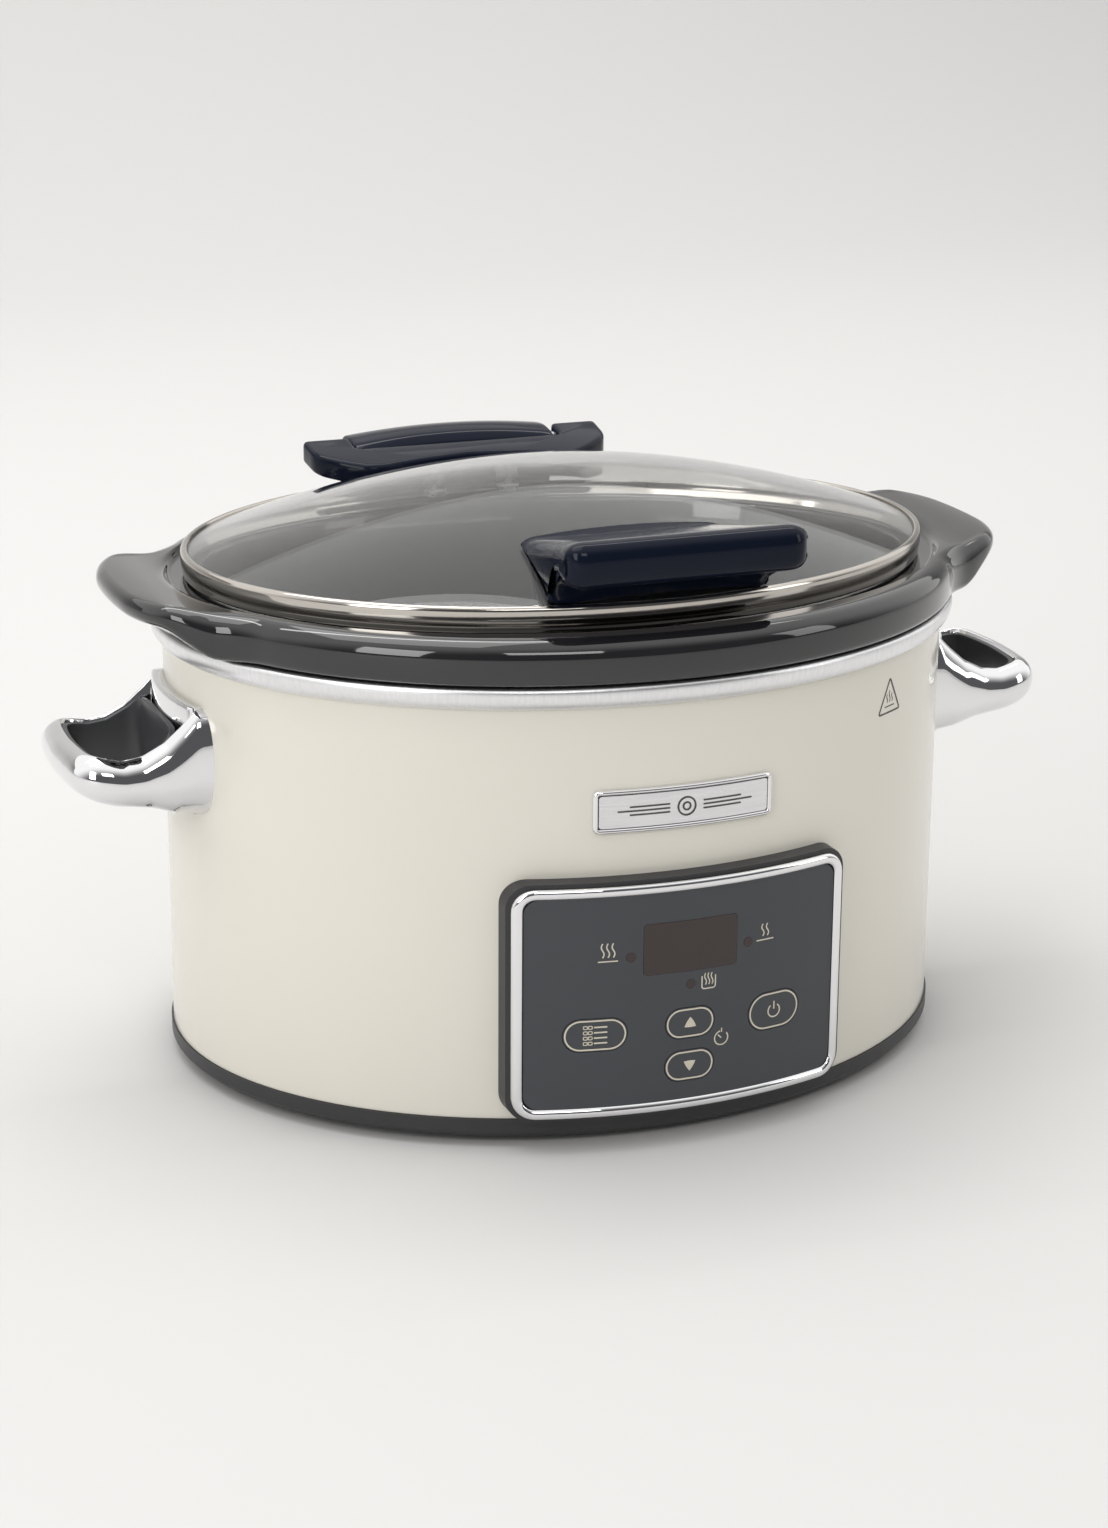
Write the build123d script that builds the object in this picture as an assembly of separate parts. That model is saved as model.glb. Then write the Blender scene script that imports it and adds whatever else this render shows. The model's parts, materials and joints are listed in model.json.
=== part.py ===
from build123d import *
import math
import os

os.makedirs("parts", exist_ok=True)

# Driving dimensions, in millimetres. X runs along the long side of the oval, -Y is the front
# with the control panel, and Z = 0 is the surface that the feet stand on.
body_a = 165.0            # half length of the painted oval body
body_b = 137.6            # half depth of the painted oval body
sheet = 1.0               # steel and aluminium sheet thickness
tray_bottom = 4.0
shell_bottom = 12.0
shell_top = 179.0
rim_top = 188.2           # flat top of the heating well's rolled rim
rim_bulge = 5.0           # how far the rolled rim stands out of the body
well_a = 157.5            # outside of the heating well's wall
well_b = 126.0
well_bottom = 38.0
shield_z = 31.0

crock_bottom = 46.0
crock_wall = 6.0
flange_bottom = 188.6     # underside of the crock's flange, just clear of the rim
flange_top = 206.5
flange_a = 169.5
flange_b = 143.0
ledge_z = 203.2           # ledge that the lid rests on
ledge_a = 163.5
ledge_b = 126.4
mouth_a = 149.0           # opening inside the ledge
mouth_b = 112.6
ear_tip = 190.5
ear_half = 22.0           # flat half width of an ear's outer end
reach_half = 70.0         # half depth of the part of the flange that the ears belong to

lid_a = 157.2             # outside of the lid's rim band
lid_b = 120.8
lid_bottom = 203.5
lid_edge = 212.6          # upper edge of the rim band
dome_rise = 31.0
dome_power = 1.8
glass = 4.0

hinge_y = 127.0           # axis of the lid's hinge
hinge_z = 225.5
pin_r = 2.5
notch_half = 48.0
bar_half = 47.4

panel_w = 143.0
panel_h = 98.0
panel_z = 62.5            # centre height of the control panel
key_gap = 0.3
key_travel = 0.5

handle_reach = 216.0
handle_half = 38.0        # half width of a side handle where it meets the body
handle_wall = 8.0         # chrome around the finger hole
lining_wall = 2.2

gland_y = body_b + 9.8    # outermost point at the back, level with the panel's reach in front
gland_z = 25.0

badge_z = 137.6
badge_w = 75.0
badge_h = 17.6
face_w = 131.0
face_h = 86.5
window_w = 39.4
window_h = 21.0
window_z = 83.0
lens_r = 2.0
lens_places = {"high_lens": (-24.7, 80.6), "low_lens": (24.7, 80.6), "warm_lens": (0.0, 67.0)}
keys = {
    "menu_key": (-38.4, 49.6, 25.0, 13.4),
    "up_key": (0.0, 50.9, 20.6, 12.6),
    "down_key": (0.0, 33.1, 20.8, 12.6),
    "power_key": (37.4, 49.8, 23.6, 15.6),
}
board_y = 132.9           # front face of the control board, behind the panel
switch_tip = 137.4        # where a key's stem ends
board_screw_places = [(x, z) for x in (-52, 52) for z in (panel_z - 30, panel_z + 30)]
board_posts = [(x, y) for x in (-92, -28) for y in (-58, -22)]
foot_places = [(x, y) for x in (-104, 104) for y in (-82, 82)]
handle_screw_places = [(-33.0, 140.0), (33.0, 140.0)]
lid_screw_places = [(-24.0, -84.0), (24.0, -84.0), (-17.0, 104.0), (17.0, 104.0)]
peg_x = 30.0              # pegs that hold the hinge clip in the crock's flange
peg_y = 135.0
peg_r = 3.0
stud_x = 28.0             # the badge's two studs
stud_r = 1.5
sleeve_z = 73.0           # middle of the heater band
sleeve_h = 38.0
sensor_x = 48.0
clamp_y = well_b + 6.0    # axis of the heater band's clamp screw


def save(name, shape, *more):
    """Write one named sub-part; extra solids that are the same piece of hardware share its file."""
    solids = [s for item in (shape, *more) for s in item.solids()]
    item = solids[0] if len(solids) == 1 else Compound(children=solids)
    item.label = name
    export_step(item, f"parts/{name}.step")


def oval(a, b, z):
    return Plane.XY.offset(z) * Ellipse(a, b)


def stack(sections):
    """A solid through ovals given as (half length, half depth, height)."""
    return loft([oval(a, b, z) for a, b, z in sections], ruled=True)


def ring(a, b, wall, low, high):
    return extrude(Plane.XY.offset(low) * (Ellipse(a, b) - Ellipse(a - wall, b - wall)), high - low)


def between(prism, inner, outer):
    """What of a prism through the front wall lies between two offsets from the painted body."""
    outside = extrude(oval(body_a + outer, body_b + outer, -1), 262)
    inside = extrude(oval(body_a + inner, body_b + inner, -2), 264)
    return (prism & outside) - inside


def front_prism(width, height, radius, x, z):
    """A rounded rectangle seen from the front, carried along Y through the front wall."""
    face = Plane.XZ * Pos(x, z) * RectangleRounded(width, height, radius)
    return extrude(face, 200)


def curved_plate(width, height, radius, x, z, inner, outer):
    return between(front_prism(width, height, radius, x, z), inner, outer)


def pill(x, z, width, height, grow=0.0):
    """Outline of a key as seen from the front, or of its hole when grown."""
    return Pos(x, z) * SlotOverall(width + 2 * grow, height + 2 * grow)


def curved_piece(outline, inner, outer):
    return between(extrude(Plane.XZ * outline, 200), inner, outer)


def rod(start, direction, radius, length):
    return extrude(Plane(start, z_dir=direction) * Circle(radius), length)


def screw(start, direction, shank_r, length, head_r, head_h):
    """A pan-head screw: its head's bearing face is at start, and its shank runs along direction."""
    back = tuple(-c for c in direction)
    return rod(start, direction, shank_r, length) + rod(start, back, head_r, head_h)


def side_profile(points, width):
    """An outline in the YZ plane carried to both sides of X = 0."""
    return extrude(Plane.YZ * make_face(Polyline(*points, close=True)), width / 2, both=True)


def body_y(x, offset=0.0):
    """Depth of the body's front surface, as a positive number, at a distance x from the middle."""
    return (body_b + offset) * math.sqrt(1 - (x / (body_a + offset)) ** 2)


# ---------------------------------------------------------------- base

def make_shell():
    shell = ring(body_a, body_b, sheet, shell_bottom, shell_top)
    window = front_prism(panel_w - 14, panel_h - 13, 6, 0, panel_z)
    shell -= window
    for x in (-stud_x, stud_x):
        shell -= rod((x, -100, badge_z), (0, -1, 0), stud_r + 0.3, 60)
    for side in (-1, 1):
        for y, z in handle_screw_places:
            shell -= rod((side * 120, y, z), (side, 0, 0), 2.4, 60)
    return shell - rod((0, 100, gland_z), (0, 1, 0), 6.2, 60)


def make_tray():
    """Base tray: a dark ring that the shell stands on, a floor with vents, and a spigot inside."""
    ring_part = stack([
        (body_a - 1.5, body_b - 1.5, tray_bottom),
        (body_a + 0.8, body_b + 0.8, tray_bottom + 2.5),
        (body_a + 0.8, body_b + 0.8, shell_bottom),
    ])
    tray = ring_part - extrude(oval(body_a - 6, body_b - 6, tray_bottom + 3), 20)
    tray += ring(body_a - sheet - 0.3, body_b - sheet - 0.3, 2.2, tray_bottom + 3, shell_bottom + 3)
    tray -= rod((0, 100, gland_z), (0, 1, 0), 12, 60)
    tray += rod((0, 0, tray_bottom + 2), (0, 0, 1), 9, shield_z - tray_bottom - 2)
    for x, y in board_posts:
        tray += rod((x, y, tray_bottom + 2), (0, 0, 1), 4, 6)
        tray -= rod((x, y, tray_bottom + 3), (0, 0, 1), 1.2, 20)
    tray -= rod((0, 0, 0), (0, 0, 1), 2.8, 60)
    tray -= rod((0, 0, 0), (0, 0, 1), 6, tray_bottom + 2)
    for x, y in foot_places:
        tray -= rod((x, y, 0), (0, 0, 1), 3.1, 20)
    slots = [Pos(x, y) * SlotOverall(44, 5) for x in (-52, 0, 52) for y in (-96, -84, 84, 96)]
    tray -= extrude(Plane.XY * Sketch(children=slots), 12)
    return tray


def make_foot(x, y):
    """Soft pad with a barbed stem pushed up through the tray's floor."""
    pad = loft([Plane.XY * Circle(8.5), Plane.XY.offset(tray_bottom) * Circle(10)])
    stem = rod((0, 0, tray_bottom), (0, 0, 1), 2.9, 5)
    barb = rod((0, 0, tray_bottom + 3.1), (0, 0, 1), 3.8, 1.2)
    return Pos(x, y, 0) * (pad + stem + barb)


def make_well():
    """Heating well: a deep oval pan whose upper edge is rolled outward over the shell."""
    outer = stack([
        (well_a - 12, well_b - 12, well_bottom),
        (well_a - 4, well_b - 4, well_bottom + 3),
        (well_a, well_b, well_bottom + 11),
        (well_a, well_b, rim_top),
    ])
    cavity = stack([
        (well_a - 12.5, well_b - 12.5, well_bottom + sheet),
        (well_a - 4.8, well_b - 4.8, well_bottom + 4),
        (well_a - sheet, well_b - sheet, well_bottom + 11.6),
        (well_a - sheet, well_b - sheet, rim_top + 1),
    ])
    roll = [(0.4, 0.0), (2.6, 1.2), (4.3, 3.6), (rim_bulge, 6.4), (4.6, 8.0), (3.4, 9.2)]
    roll_out = stack([(body_a + g, body_b + g, shell_top + h) for g, h in roll])
    roll_in = stack([(body_a + g - 1.2, body_b + g - 1.2, shell_top + h - 0.9) for g, h in roll])
    roll_in -= Pos(0, 0, rim_top + 10 - sheet) * Box(400, 400, 20)
    return (roll_out - roll_in) + outer - cavity


def make_heat_shield():
    pan = stack([(132, 104, shield_z), (136, 108, shield_z + 5)])
    pan -= stack([(131, 103, shield_z + 0.6), (136, 108, shield_z + 6)])
    pan -= rod((0, 0, 0), (0, 0, 1), 3.2, 60)
    return pan - rod((sensor_x, 0, 0), (0, 0, 1), 5.2, 60)


def make_heater_band():
    """Wrap-around element with a folded lug at each end, behind the well."""
    band = ring(well_a + 2.4, well_b + 2.4, 2.2, sleeve_z - sleeve_h / 2, sleeve_z + sleeve_h / 2)
    band -= Pos(0, well_b, sleeve_z) * Box(16, 20, 60)
    for side in (-1, 1):
        lug = Pos(side * 9.0, well_b + 5.4, sleeve_z) * Box(2, 8, 20)
        lug -= rod((0, clamp_y, sleeve_z), (side, 0, 0), 1.7, 20)
        band += lug
    return band


def make_band_spring():
    coil = rod((-7.5, clamp_y, sleeve_z), (1, 0, 0), 2.6, 15)
    return coil - rod((-8, clamp_y, sleeve_z), (1, 0, 0), 1.8, 16)


# ---------------------------------------------------------------- crock

def ear_outline():
    """Plan outline of the flange with its two ears, as one closed sketch."""
    tip_edge = (ear_tip - 1.5, ear_half)
    corner = (ear_tip - 12.5, 48)
    neck = (ear_tip - 33.5, 60)
    root = (ear_tip - 42.5, 68.5)
    upper = [
        ThreePointArc(tip_edge, (ear_tip - 4.5, 37), corner),
        ThreePointArc(corner, (ear_tip - 22, 54.3), neck),
        Line(neck, root),
    ]
    lower = [mirror(edge, Plane.XZ) for edge in upper]
    tip = ThreePointArc(tip_edge, (ear_tip, 0), (tip_edge[0], -tip_edge[1]))
    right = make_face([tip, *upper, *lower, Line(root, (root[0], -root[1]))])
    return Ellipse(flange_a, flange_b) + right + mirror(right, Plane.YZ)


def make_crock():
    """Stoneware pot: body, flange with ears, and a ledge for the lid inside the flange."""
    top_edge = flange_a - 4
    section = [
        (0, flange_bottom), (flange_a - 2.5, flange_bottom), (flange_a, flange_bottom + 2.5),
        (174, 194.5), (181, 198.6), (ear_tip - 2, 200.2), (ear_tip + 1, 203), (ear_tip + 1, 206),
        (ear_tip - 2.5, 209), (181, 209.4), (173, 208), (top_edge, flange_top), (0, flange_top),
    ]
    half = extrude(Plane.XZ * make_face(Polyline(*section, close=True)), 200, both=True)
    flange = extrude(Plane.XY.offset(180) * ear_outline(), 40) & (half + mirror(half, Plane.YZ))
    under = stack([
        (flange_a - 2.5, flange_b - 2.5, flange_bottom),
        (flange_a, flange_b, flange_bottom + 2.5),
        (flange_a, flange_b, flange_top - 3),
        (flange_a - 4, flange_b - 4, flange_top),
    ])
    reach = Pos(0, 0, 198) * Box(2 * flange_a + 80, 2 * reach_half, 60)
    flange = (flange & reach) + under
    wall_top_a = mouth_a + crock_wall - 3
    wall_top_b = mouth_b + crock_wall + 2
    pot = stack([
        (118, 88, crock_bottom), (129, 98, crock_bottom + 4), (137, 105, crock_bottom + 13),
        (142, 109, crock_bottom + 30), (wall_top_a, wall_top_b, flange_bottom + 1),
    ])
    inside = stack([
        (112, 82, crock_bottom + 8), (123, 92, crock_bottom + 11.5), (131, 99, crock_bottom + 20),
        (136, 103, crock_bottom + 36), (mouth_a - 2, mouth_b - 2, flange_bottom),
        (mouth_a, mouth_b, ledge_z + 0.5),
    ])
    recess = stack([
        (ledge_a - 1.5, ledge_b - 1.5, ledge_z), (ledge_a, ledge_b, ledge_z + 1.5),
        (ledge_a + 1, ledge_b + 1, flange_top + 12),
    ])
    crock = flange + pot - recess - inside
    for x in (-peg_x, peg_x):
        crock -= rod((x, peg_y, flange_top - 9), (0, 0, 1), peg_r + 0.25, 30)
    return crock


# ---------------------------------------------------------------- lid

def dome_height(share):
    """Height of the glass above the rim's edge, at a share of the way from centre to rim."""
    return lid_edge + dome_rise * (1 - share ** dome_power)


def dome(radius_a, drop, low):
    """Everything under a dome that lies drop below the pane's upper face, down to the level low."""
    shares = (1, 0.93, 0.84, 0.72, 0.58, 0.42, 0.26, 0.1)
    rings = [(radius_a * s, radius_a * s * lid_b / lid_a, dome_height(s * radius_a / lid_a) - drop)
             for s in shares]
    return stack([(rings[0][0], rings[0][1], low), *rings])


def make_lid_glass():
    edge_a = lid_a - 3.0
    pane = dome(edge_a, 0, lid_edge - glass) - dome(edge_a - 1, glass, lid_edge - glass - 9)
    for x, y in lid_screw_places:
        pane -= rod((x, y, 190), (0, 0, 1), 3.2, 60)
    return pane


def make_lid_rim():
    """Pressed band that wraps the pane's edge: a channel with a rolled lower lip."""
    edge = [(-1.6, lid_bottom), (0, lid_bottom + 1.8), (0, lid_edge - 0.8), (-1.0, lid_edge + 0.9),
            (-4.5, lid_edge + 2.2), (-7.5, lid_edge + 2.9)]
    outer = stack([(lid_a + g, lid_b + g, z) for g, z in edge])
    bore = stack([(lid_a - 8.5, lid_b - 8.5, lid_bottom - 1), (lid_a - 8.5, lid_b - 8.5, lid_edge + 4)])
    seat = dome(lid_a - 2.98, -0.02, lid_edge - glass) - dome(lid_a - 4, glass + 0.02, lid_edge - glass - 9)
    return outer - bore - seat


def seat_cut():
    """The space of the pane and its rim, cut from whatever is fixed on top of them."""
    band = stack([(lid_a + 0.4, lid_b + 0.4, lid_bottom - 20), (lid_a + 0.4, lid_b + 0.4, lid_edge + 1),
                  (lid_a - 4.5, lid_b - 4.5, lid_edge + 2.4), (lid_a - 9, lid_b - 9, lid_edge + 3.2)])
    return dome(lid_a - 3, -0.1, lid_bottom - 20) + band


def make_front_handle():
    """Grip: a base seated on the glass and a thick lip reaching out over the flange."""
    profile = [
        (-70, 226), (-70, 229.6), (-100, 236.6), (-128, 243.2), (-134.5, 244.0), (-139, 241.8),
        (-140.5, 237), (-140.5, 231.5), (-138.6, 227.8), (-134, 226.2), (-128, 226.6), (-124, 226.2),
        (-117, 221.5), (-113.5, 215.5), (-113, 209), (-90, 209),
    ]
    block = side_profile(profile, 110)
    plan = make_face(Polyline(
        (-43.5, -68), (43.5, -68), (45, -90), (46, -104), (49, -118), (50, -128), (49.5, -136), (46, -142),
        (-46, -142), (-49.5, -136), (-50, -128), (-49, -118), (-46, -104), (-45, -90), close=True))
    handle = block & extrude(Plane.XY.offset(190) * plan, 80)
    handle -= seat_cut()
    for x, y in lid_screw_places[:2]:
        handle -= rod((x, y, 190), (0, 0, 1), 1.6, 230 - 190 + 1)
    return handle


def make_hinge_plate():
    """Plate on the back of the lid: two wings that carry the pin on either side of the clip."""
    plan = make_face(Polyline(
        (-47, 96), (47, 96), (58, 103), (68, 112), (69.5, 119), (69.5, 131.5), (notch_half, 131.5),
        (notch_half, 112.5), (-notch_half, 112.5), (-notch_half, 131.5), (-69.5, 131.5), (-69.5, 119),
        (-68, 112), (-58, 103), close=True))
    profile = [
        (94, 212), (94, 224.4), (110, 228), (124, 231), (131, 231.4), (133, 229.5), (133, 224),
        (131, 220.6), (127, 219.4), (121.5, 219.4), (118, 213), (112, 209), (100, 209),
    ]
    plate = side_profile(profile, 160) & extrude(Plane.XY.offset(190) * plan, 80)
    plate -= seat_cut()
    plate -= rod((-80, hinge_y, hinge_z), (1, 0, 0), pin_r + 0.05, 160)
    for x, y in lid_screw_places[2:]:
        plate -= rod((x, y, 190), (0, 0, 1), 1.6, 36)
    return plate


def make_hinge_pin():
    return rod((-66, hinge_y, hinge_z), (1, 0, 0), pin_r, 132)


def make_hinge_clip():
    """Saddle that stands on the back of the flange, with pegs below and a crowned pin bar above."""
    barrel = rod((-bar_half, hinge_y, hinge_z), (1, 0, 0), 6.2, 2 * bar_half)
    web = side_profile([
        (128.5, 207.2), (145.2, 207.2), (144.6, 214), (140, 224), (135.5, 229.5), (131, 231),
        (127, 231.5), (128.5, 219.5),
    ], 2 * bar_half)
    skirt = side_profile([
        (143.6, 192), (146.4, 192), (146.4, 207), (145.2, 210), (138, 210), (138, 207), (143.6, 207),
    ], 80)
    crown = Plane.XZ * make_face([
        Line((-bar_half, 226), (-bar_half, 230.4)),
        ThreePointArc((-bar_half, 230.4), (0, 235.2), (bar_half, 230.4)),
        Line((bar_half, 230.4), (bar_half, 226)),
        Line((bar_half, 226), (-bar_half, 226)),
    ])
    crown = Pos(0, 136, 0) * extrude(crown, 8)
    clip = barrel + web + crown + (skirt - extrude(oval(flange_a + 0.5, flange_b + 0.5, 180), 26.9))
    clip -= rod((-60, hinge_y, hinge_z), (1, 0, 0), pin_r + 0.05, 120)
    for x in (-peg_x, peg_x):
        clip += rod((x, peg_y, flange_top - 8), (0, 0, 1), peg_r, 12)
    return clip


# ---------------------------------------------------------------- side handles

def handle_slab(shrink=0.0):
    """The side view of a handle in the XZ plane, carried along Y; shrink thins it top and bottom."""
    top = [(150, 164.5), (165.5, 163.5), (171, 157), (179, 150.5), (188, 147.5), (204, 148), (218, 148.5)]
    bottom = [(218, 131), (206, 127.5), (186, 124), (174, 119.5), (150, 118.5)]
    outline = [(x, z - shrink) for x, z in top] + [(x, z + shrink) for x, z in bottom]
    return extrude(Plane.XZ * make_face(Polyline(*outline, close=True)), 60, both=True)


def handle_plan(inset, x_low):
    """The D-shaped plan of a handle, drawn inset from its outer edge."""
    wide = handle_half - inset
    far = handle_reach - inset
    shoulder = (far - 13, wide)
    corner = (far - 1.6, wide - 12)
    upper = [Line((x_low, wide), shoulder), ThreePointArc(shoulder, (far - 4.9, wide - 3.6), corner)]
    lower = [mirror(edge, Plane.XZ) for edge in upper]
    end = ThreePointArc(corner, (far, 0), (corner[0], -corner[1]))
    return make_face([*upper, end, *lower, Line((x_low, -wide), (x_low, wide))])


def make_handle():
    """Right-hand chrome loop; its root is trimmed to the body."""
    solid = handle_slab() & extrude(Plane.XY.offset(100) * handle_plan(0, 140), 80)
    hole = extrude(Plane.XY.offset(100) * handle_plan(handle_wall, 170), 80)
    loop = solid - hole - extrude(oval(body_a + 0.02, body_b + 0.02, 90), 100)
    for y, z in handle_screw_places:
        loop -= rod((150, y, z), (1, 0, 0), 1.9, 30)
    return loop


def make_handle_insert():
    """Dark lining of the finger hole, a hollow D that stands just inside the chrome."""
    outside = handle_plan(handle_wall + 0.1, 170.1)
    inside = handle_plan(handle_wall + 0.1 + lining_wall, 170.1 + lining_wall)
    lining = handle_slab(1.2) & extrude(Plane.XY.offset(100) * outside, 80)
    return lining - extrude(Plane.XY.offset(100) * inside, 80)


# ---------------------------------------------------------------- control panel

def make_panel_housing():
    skirt = curved_plate(panel_w, panel_h, 10, 0, panel_z, 0.05, 7)
    box = curved_plate(panel_w - 15, panel_h - 14, 5.5, 0, panel_z, -8, 7)
    pocket = curved_plate(panel_w - 19, panel_h - 18, 4, 0, panel_z, -6.5, 8)
    seat = curved_plate(face_w + 0.2, face_h + 0.2, 6, 0, panel_z, 5.4, 8)
    housing = skirt + box - pocket - seat
    for x, z in board_screw_places:
        back = board_y - 1.65
        post = rod((x, -back, z), (0, 1, 0), 3, back - body_y(x, -7.5))
        housing += post
        housing -= rod((x, -back - 1, z), (0, 1, 0), 1.1, 7)
    return housing


def make_panel_bezel():
    frame = curved_plate(panel_w - 3, panel_h - 3, 9, 0, panel_z, 7.02, 9.8)
    frame -= front_prism(face_w + 0.3, face_h + 0.3, 6, 0, panel_z)
    return frame


def make_panel_face():
    outline = Pos(0, panel_z) * RectangleRounded(face_w, face_h, 5.8)
    outline -= Pos(0, window_z) * RectangleRounded(window_w + 0.2, window_h + 0.2, 1.6)
    for x, z in lens_places.values():
        outline -= Pos(x, z) * Circle(lens_r + 0.05)
    for key in keys.values():
        outline -= pill(*key, grow=key_gap)
    return curved_piece(outline, 5.5, 8.6)


def make_key(x, z, width, height):
    """Pill-shaped key with a retaining flange behind the face and a stem for its switch."""
    cap = curved_piece(pill(x, z, width, height), 4.4, 8.75)
    flange = curved_piece(pill(x, z, width, height, grow=1.2), 4.2, 5.2)
    front = body_y(x, 4.4)
    stem = rod((x, -front - 0.2, z), (0, 1, 0), 2.2, front + 0.2 - switch_tip)
    return cap + flange + stem


def make_switch(x, z):
    body = Pos(x, -(board_y + 1.75), z) * Box(6, 3.5, 6)
    stem_start = board_y + 3.4
    return body + rod((x, -stem_start, z), (0, -1, 0), 1.7, switch_tip - key_travel - 0.1 - stem_start)


def make_display_window():
    return curved_plate(window_w, window_h, 1.5, 0, window_z, 5.6, 8.7)


def make_display_module():
    return Pos(0, -(board_y + 4), window_z) * Box(window_w - 4, 8, window_h - 3)


def make_lens(x, z):
    """Light pipe from its lamp on the board to the panel face."""
    pipe = rod((x, -board_y - 2, z), (0, -1, 0), lens_r, 40)
    return between(pipe, -20, 8.7)


def make_control_board():
    board = Pos(0, -(board_y - 0.8), panel_z) * Box(116, 1.6, 72)
    for x, z in board_screw_places:
        board -= rod((x, -board_y - 5, z), (0, 1, 0), 1.4, 10)
    return board


# ---------------------------------------------------------------- small hardware and electrics

def make_sensor():
    """Temperature sensor: a cup pressed against the underside of the well."""
    cup = rod((sensor_x, 0, well_bottom - 4), (0, 0, 1), 7, 4)
    return cup + rod((sensor_x, 0, shield_z - 8), (0, 0, 1), 2.5, well_bottom - shield_z + 5)


def make_sensor_spring():
    wall = Circle(4.2) - Circle(2.8)
    return extrude(Plane((sensor_x, 0, shield_z - 6)) * wall, well_bottom - shield_z + 2)


def make_fuse():
    """Thermal fuse lying against the underside of the well, with its two leads."""
    return rod((-60, -24, 35.8), (0, 1, 0), 2, 12) + rod((-60, -36, 35.8), (0, 1, 0), 0.5, 36)


def make_centre_bolt():
    bolt = rod((0, 0, tray_bottom + 1.9), (0, 0, 1), 2.5, well_bottom - tray_bottom - 1.9)
    return bolt + rod((0, 0, tray_bottom + 0.1), (0, 0, 1), 4.8, 1.85)


def make_bolt_nut():
    return extrude(Plane((0, 0, shield_z + 0.7)) * (RegularPolygon(4.6, 6) - Circle(2.52)), 4)


def make_power_board():
    board = Pos(-60, -40, 13) * Box(78, 46, 1.6)
    for x, y in board_posts:
        board -= rod((x, y, 0), (0, 0, 1), 1.4, 30)
    return board


def board_block(x, y, length, width, height):
    return Pos(x, y, 13.85 + height / 2) * Box(length, width, height)


def make_terminal_block():
    block = Pos(0, 92, 13.1) * Box(36, 12, 12)
    for x in (-12, 0, 12):
        block -= rod((x, 92, 10), (0, 0, 1), 2.6, 30)
    return block


def lead(points, radius):
    """An insulated wire along straight runs with rounded corners."""
    path = FilletPolyline(*points, radius=4)
    return sweep(Plane(path @ 0, z_dir=path % 0) * Circle(radius), path)


def make_gland():
    """Cord gland: a flanged bush through the back wall, bored for the cord."""
    bush = rod((0, body_b - 12, gland_z), (0, 1, 0), 6, 12.2)
    bush += rod((0, body_b + 0.2, gland_z), (0, 1, 0), 9, 3.4)
    bush += rod((0, body_b + 3.5, gland_z), (0, 1, 0), 6.8, gland_y - body_b - 3.5)
    return bush - rod((0, body_b - 20, gland_z), (0, 1, 0), 3.6, 40)


def make_gland_nut():
    wall = RegularPolygon(8.8, 6) - Circle(6.02)
    return extrude(Plane((0, body_b - 6.2, gland_z), z_dir=(0, 1, 0)) * wall, 4.5)


def make_badge_plate():
    return curved_plate(badge_w - 4.6, badge_h - 4.6, 1.2, 0, badge_z, 0.3, 1.6)


def make_badge_frame():
    """Bright open frame that stands on the body around the badge plate."""
    frame = curved_plate(badge_w, badge_h, 2.2, 0, badge_z, 0.05, 2.2)
    return frame - front_prism(badge_w - 3.8, badge_h - 3.8, 1.3, 0, badge_z)


def make_badge_studs():
    """Two studs that hold the badge, each with its push-on clip inside the shell."""
    studs = []
    for x in (-stud_x, stud_x):
        y = body_y(x)
        stud = rod((x, -(y - 4), badge_z), (0, -1, 0), stud_r, 3.6)
        clip = rod((x, -(y - 3.8), badge_z), (0, -1, 0), 3.6, 0.6)
        studs.append(stud + clip)
    return studs


# ---------------------------------------------------------------- build and save

def save_base():
    save("outer_shell", make_shell())
    save("base_tray", make_tray())
    save("heating_well", make_well())
    save("heat_shield", make_heat_shield())
    save("heater_band", make_heater_band())
    save("band_spring", make_band_spring())
    save("band_screw", screw((-10.1, clamp_y, sleeve_z), (1, 0, 0), 1.6, 24, 3.2, 2.2))
    names = ("front_left", "back_left", "front_right", "back_right")
    for name, (x, y) in zip(names, foot_places):
        save(f"foot_{name}", make_foot(x, y))
    save("temperature_sensor", make_sensor())
    save("sensor_spring", make_sensor_spring())
    save("thermal_fuse", make_fuse())
    save("centre_bolt", make_centre_bolt())
    save("bolt_nut", make_bolt_nut())


def save_electrics():
    save("power_board", make_power_board())
    save("power_relay", board_block(-72, -40, 19, 15, 14))
    save("filter_capacitor", board_block(-48, -40, 17, 8, 13))
    save("board_screws", *[screw((x, y, 13.85), (0, 0, -1), 1.18, 6, 2.6, 1.6) for x, y in board_posts])
    save("terminal_block", make_terminal_block())
    save("cord_gland", make_gland())
    save("gland_nut", make_gland_nut())
    supply = [(-12, 92, 12), (-12, 92, 24), (-12, 60, 24), (-50, 40, 24), (-50, -26, 24), (-50, -26, 14)]
    neutral = [(x + 24, y, z) for x, y, z in supply[:2]]
    neutral += [(12, 52, 24), (-42, 34, 24), (-42, -26, 24), (-42, -26, 14)]
    save("supply_leads", lead(supply, 1.3), lead(neutral, 1.3))


def save_crock_and_lid():
    save("crock", make_crock())
    save("hinge_clip", make_hinge_clip())
    save("hinge_pin", make_hinge_pin())
    save("lid_glass", make_lid_glass())
    save("lid_rim", make_lid_rim())
    save("front_handle", make_front_handle())
    save("hinge_plate", make_hinge_plate())
    screws, washers = [], []
    for x, y in lid_screw_places:
        share = math.hypot(x / lid_a, y / lid_b)
        under = dome_height(share) - glass - 3.0
        screws.append(screw((x, y, under), (0, 0, 1), 1.55, 10, 3.8, 2.4))
        washers.append(rod((x, y, under + 0.02), (0, 0, 1), 5, 1.0) - rod((x, y, 190), (0, 0, 1), 1.6, 60))
    save("lid_screws", *screws)
    save("lid_washers", *washers)


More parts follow.
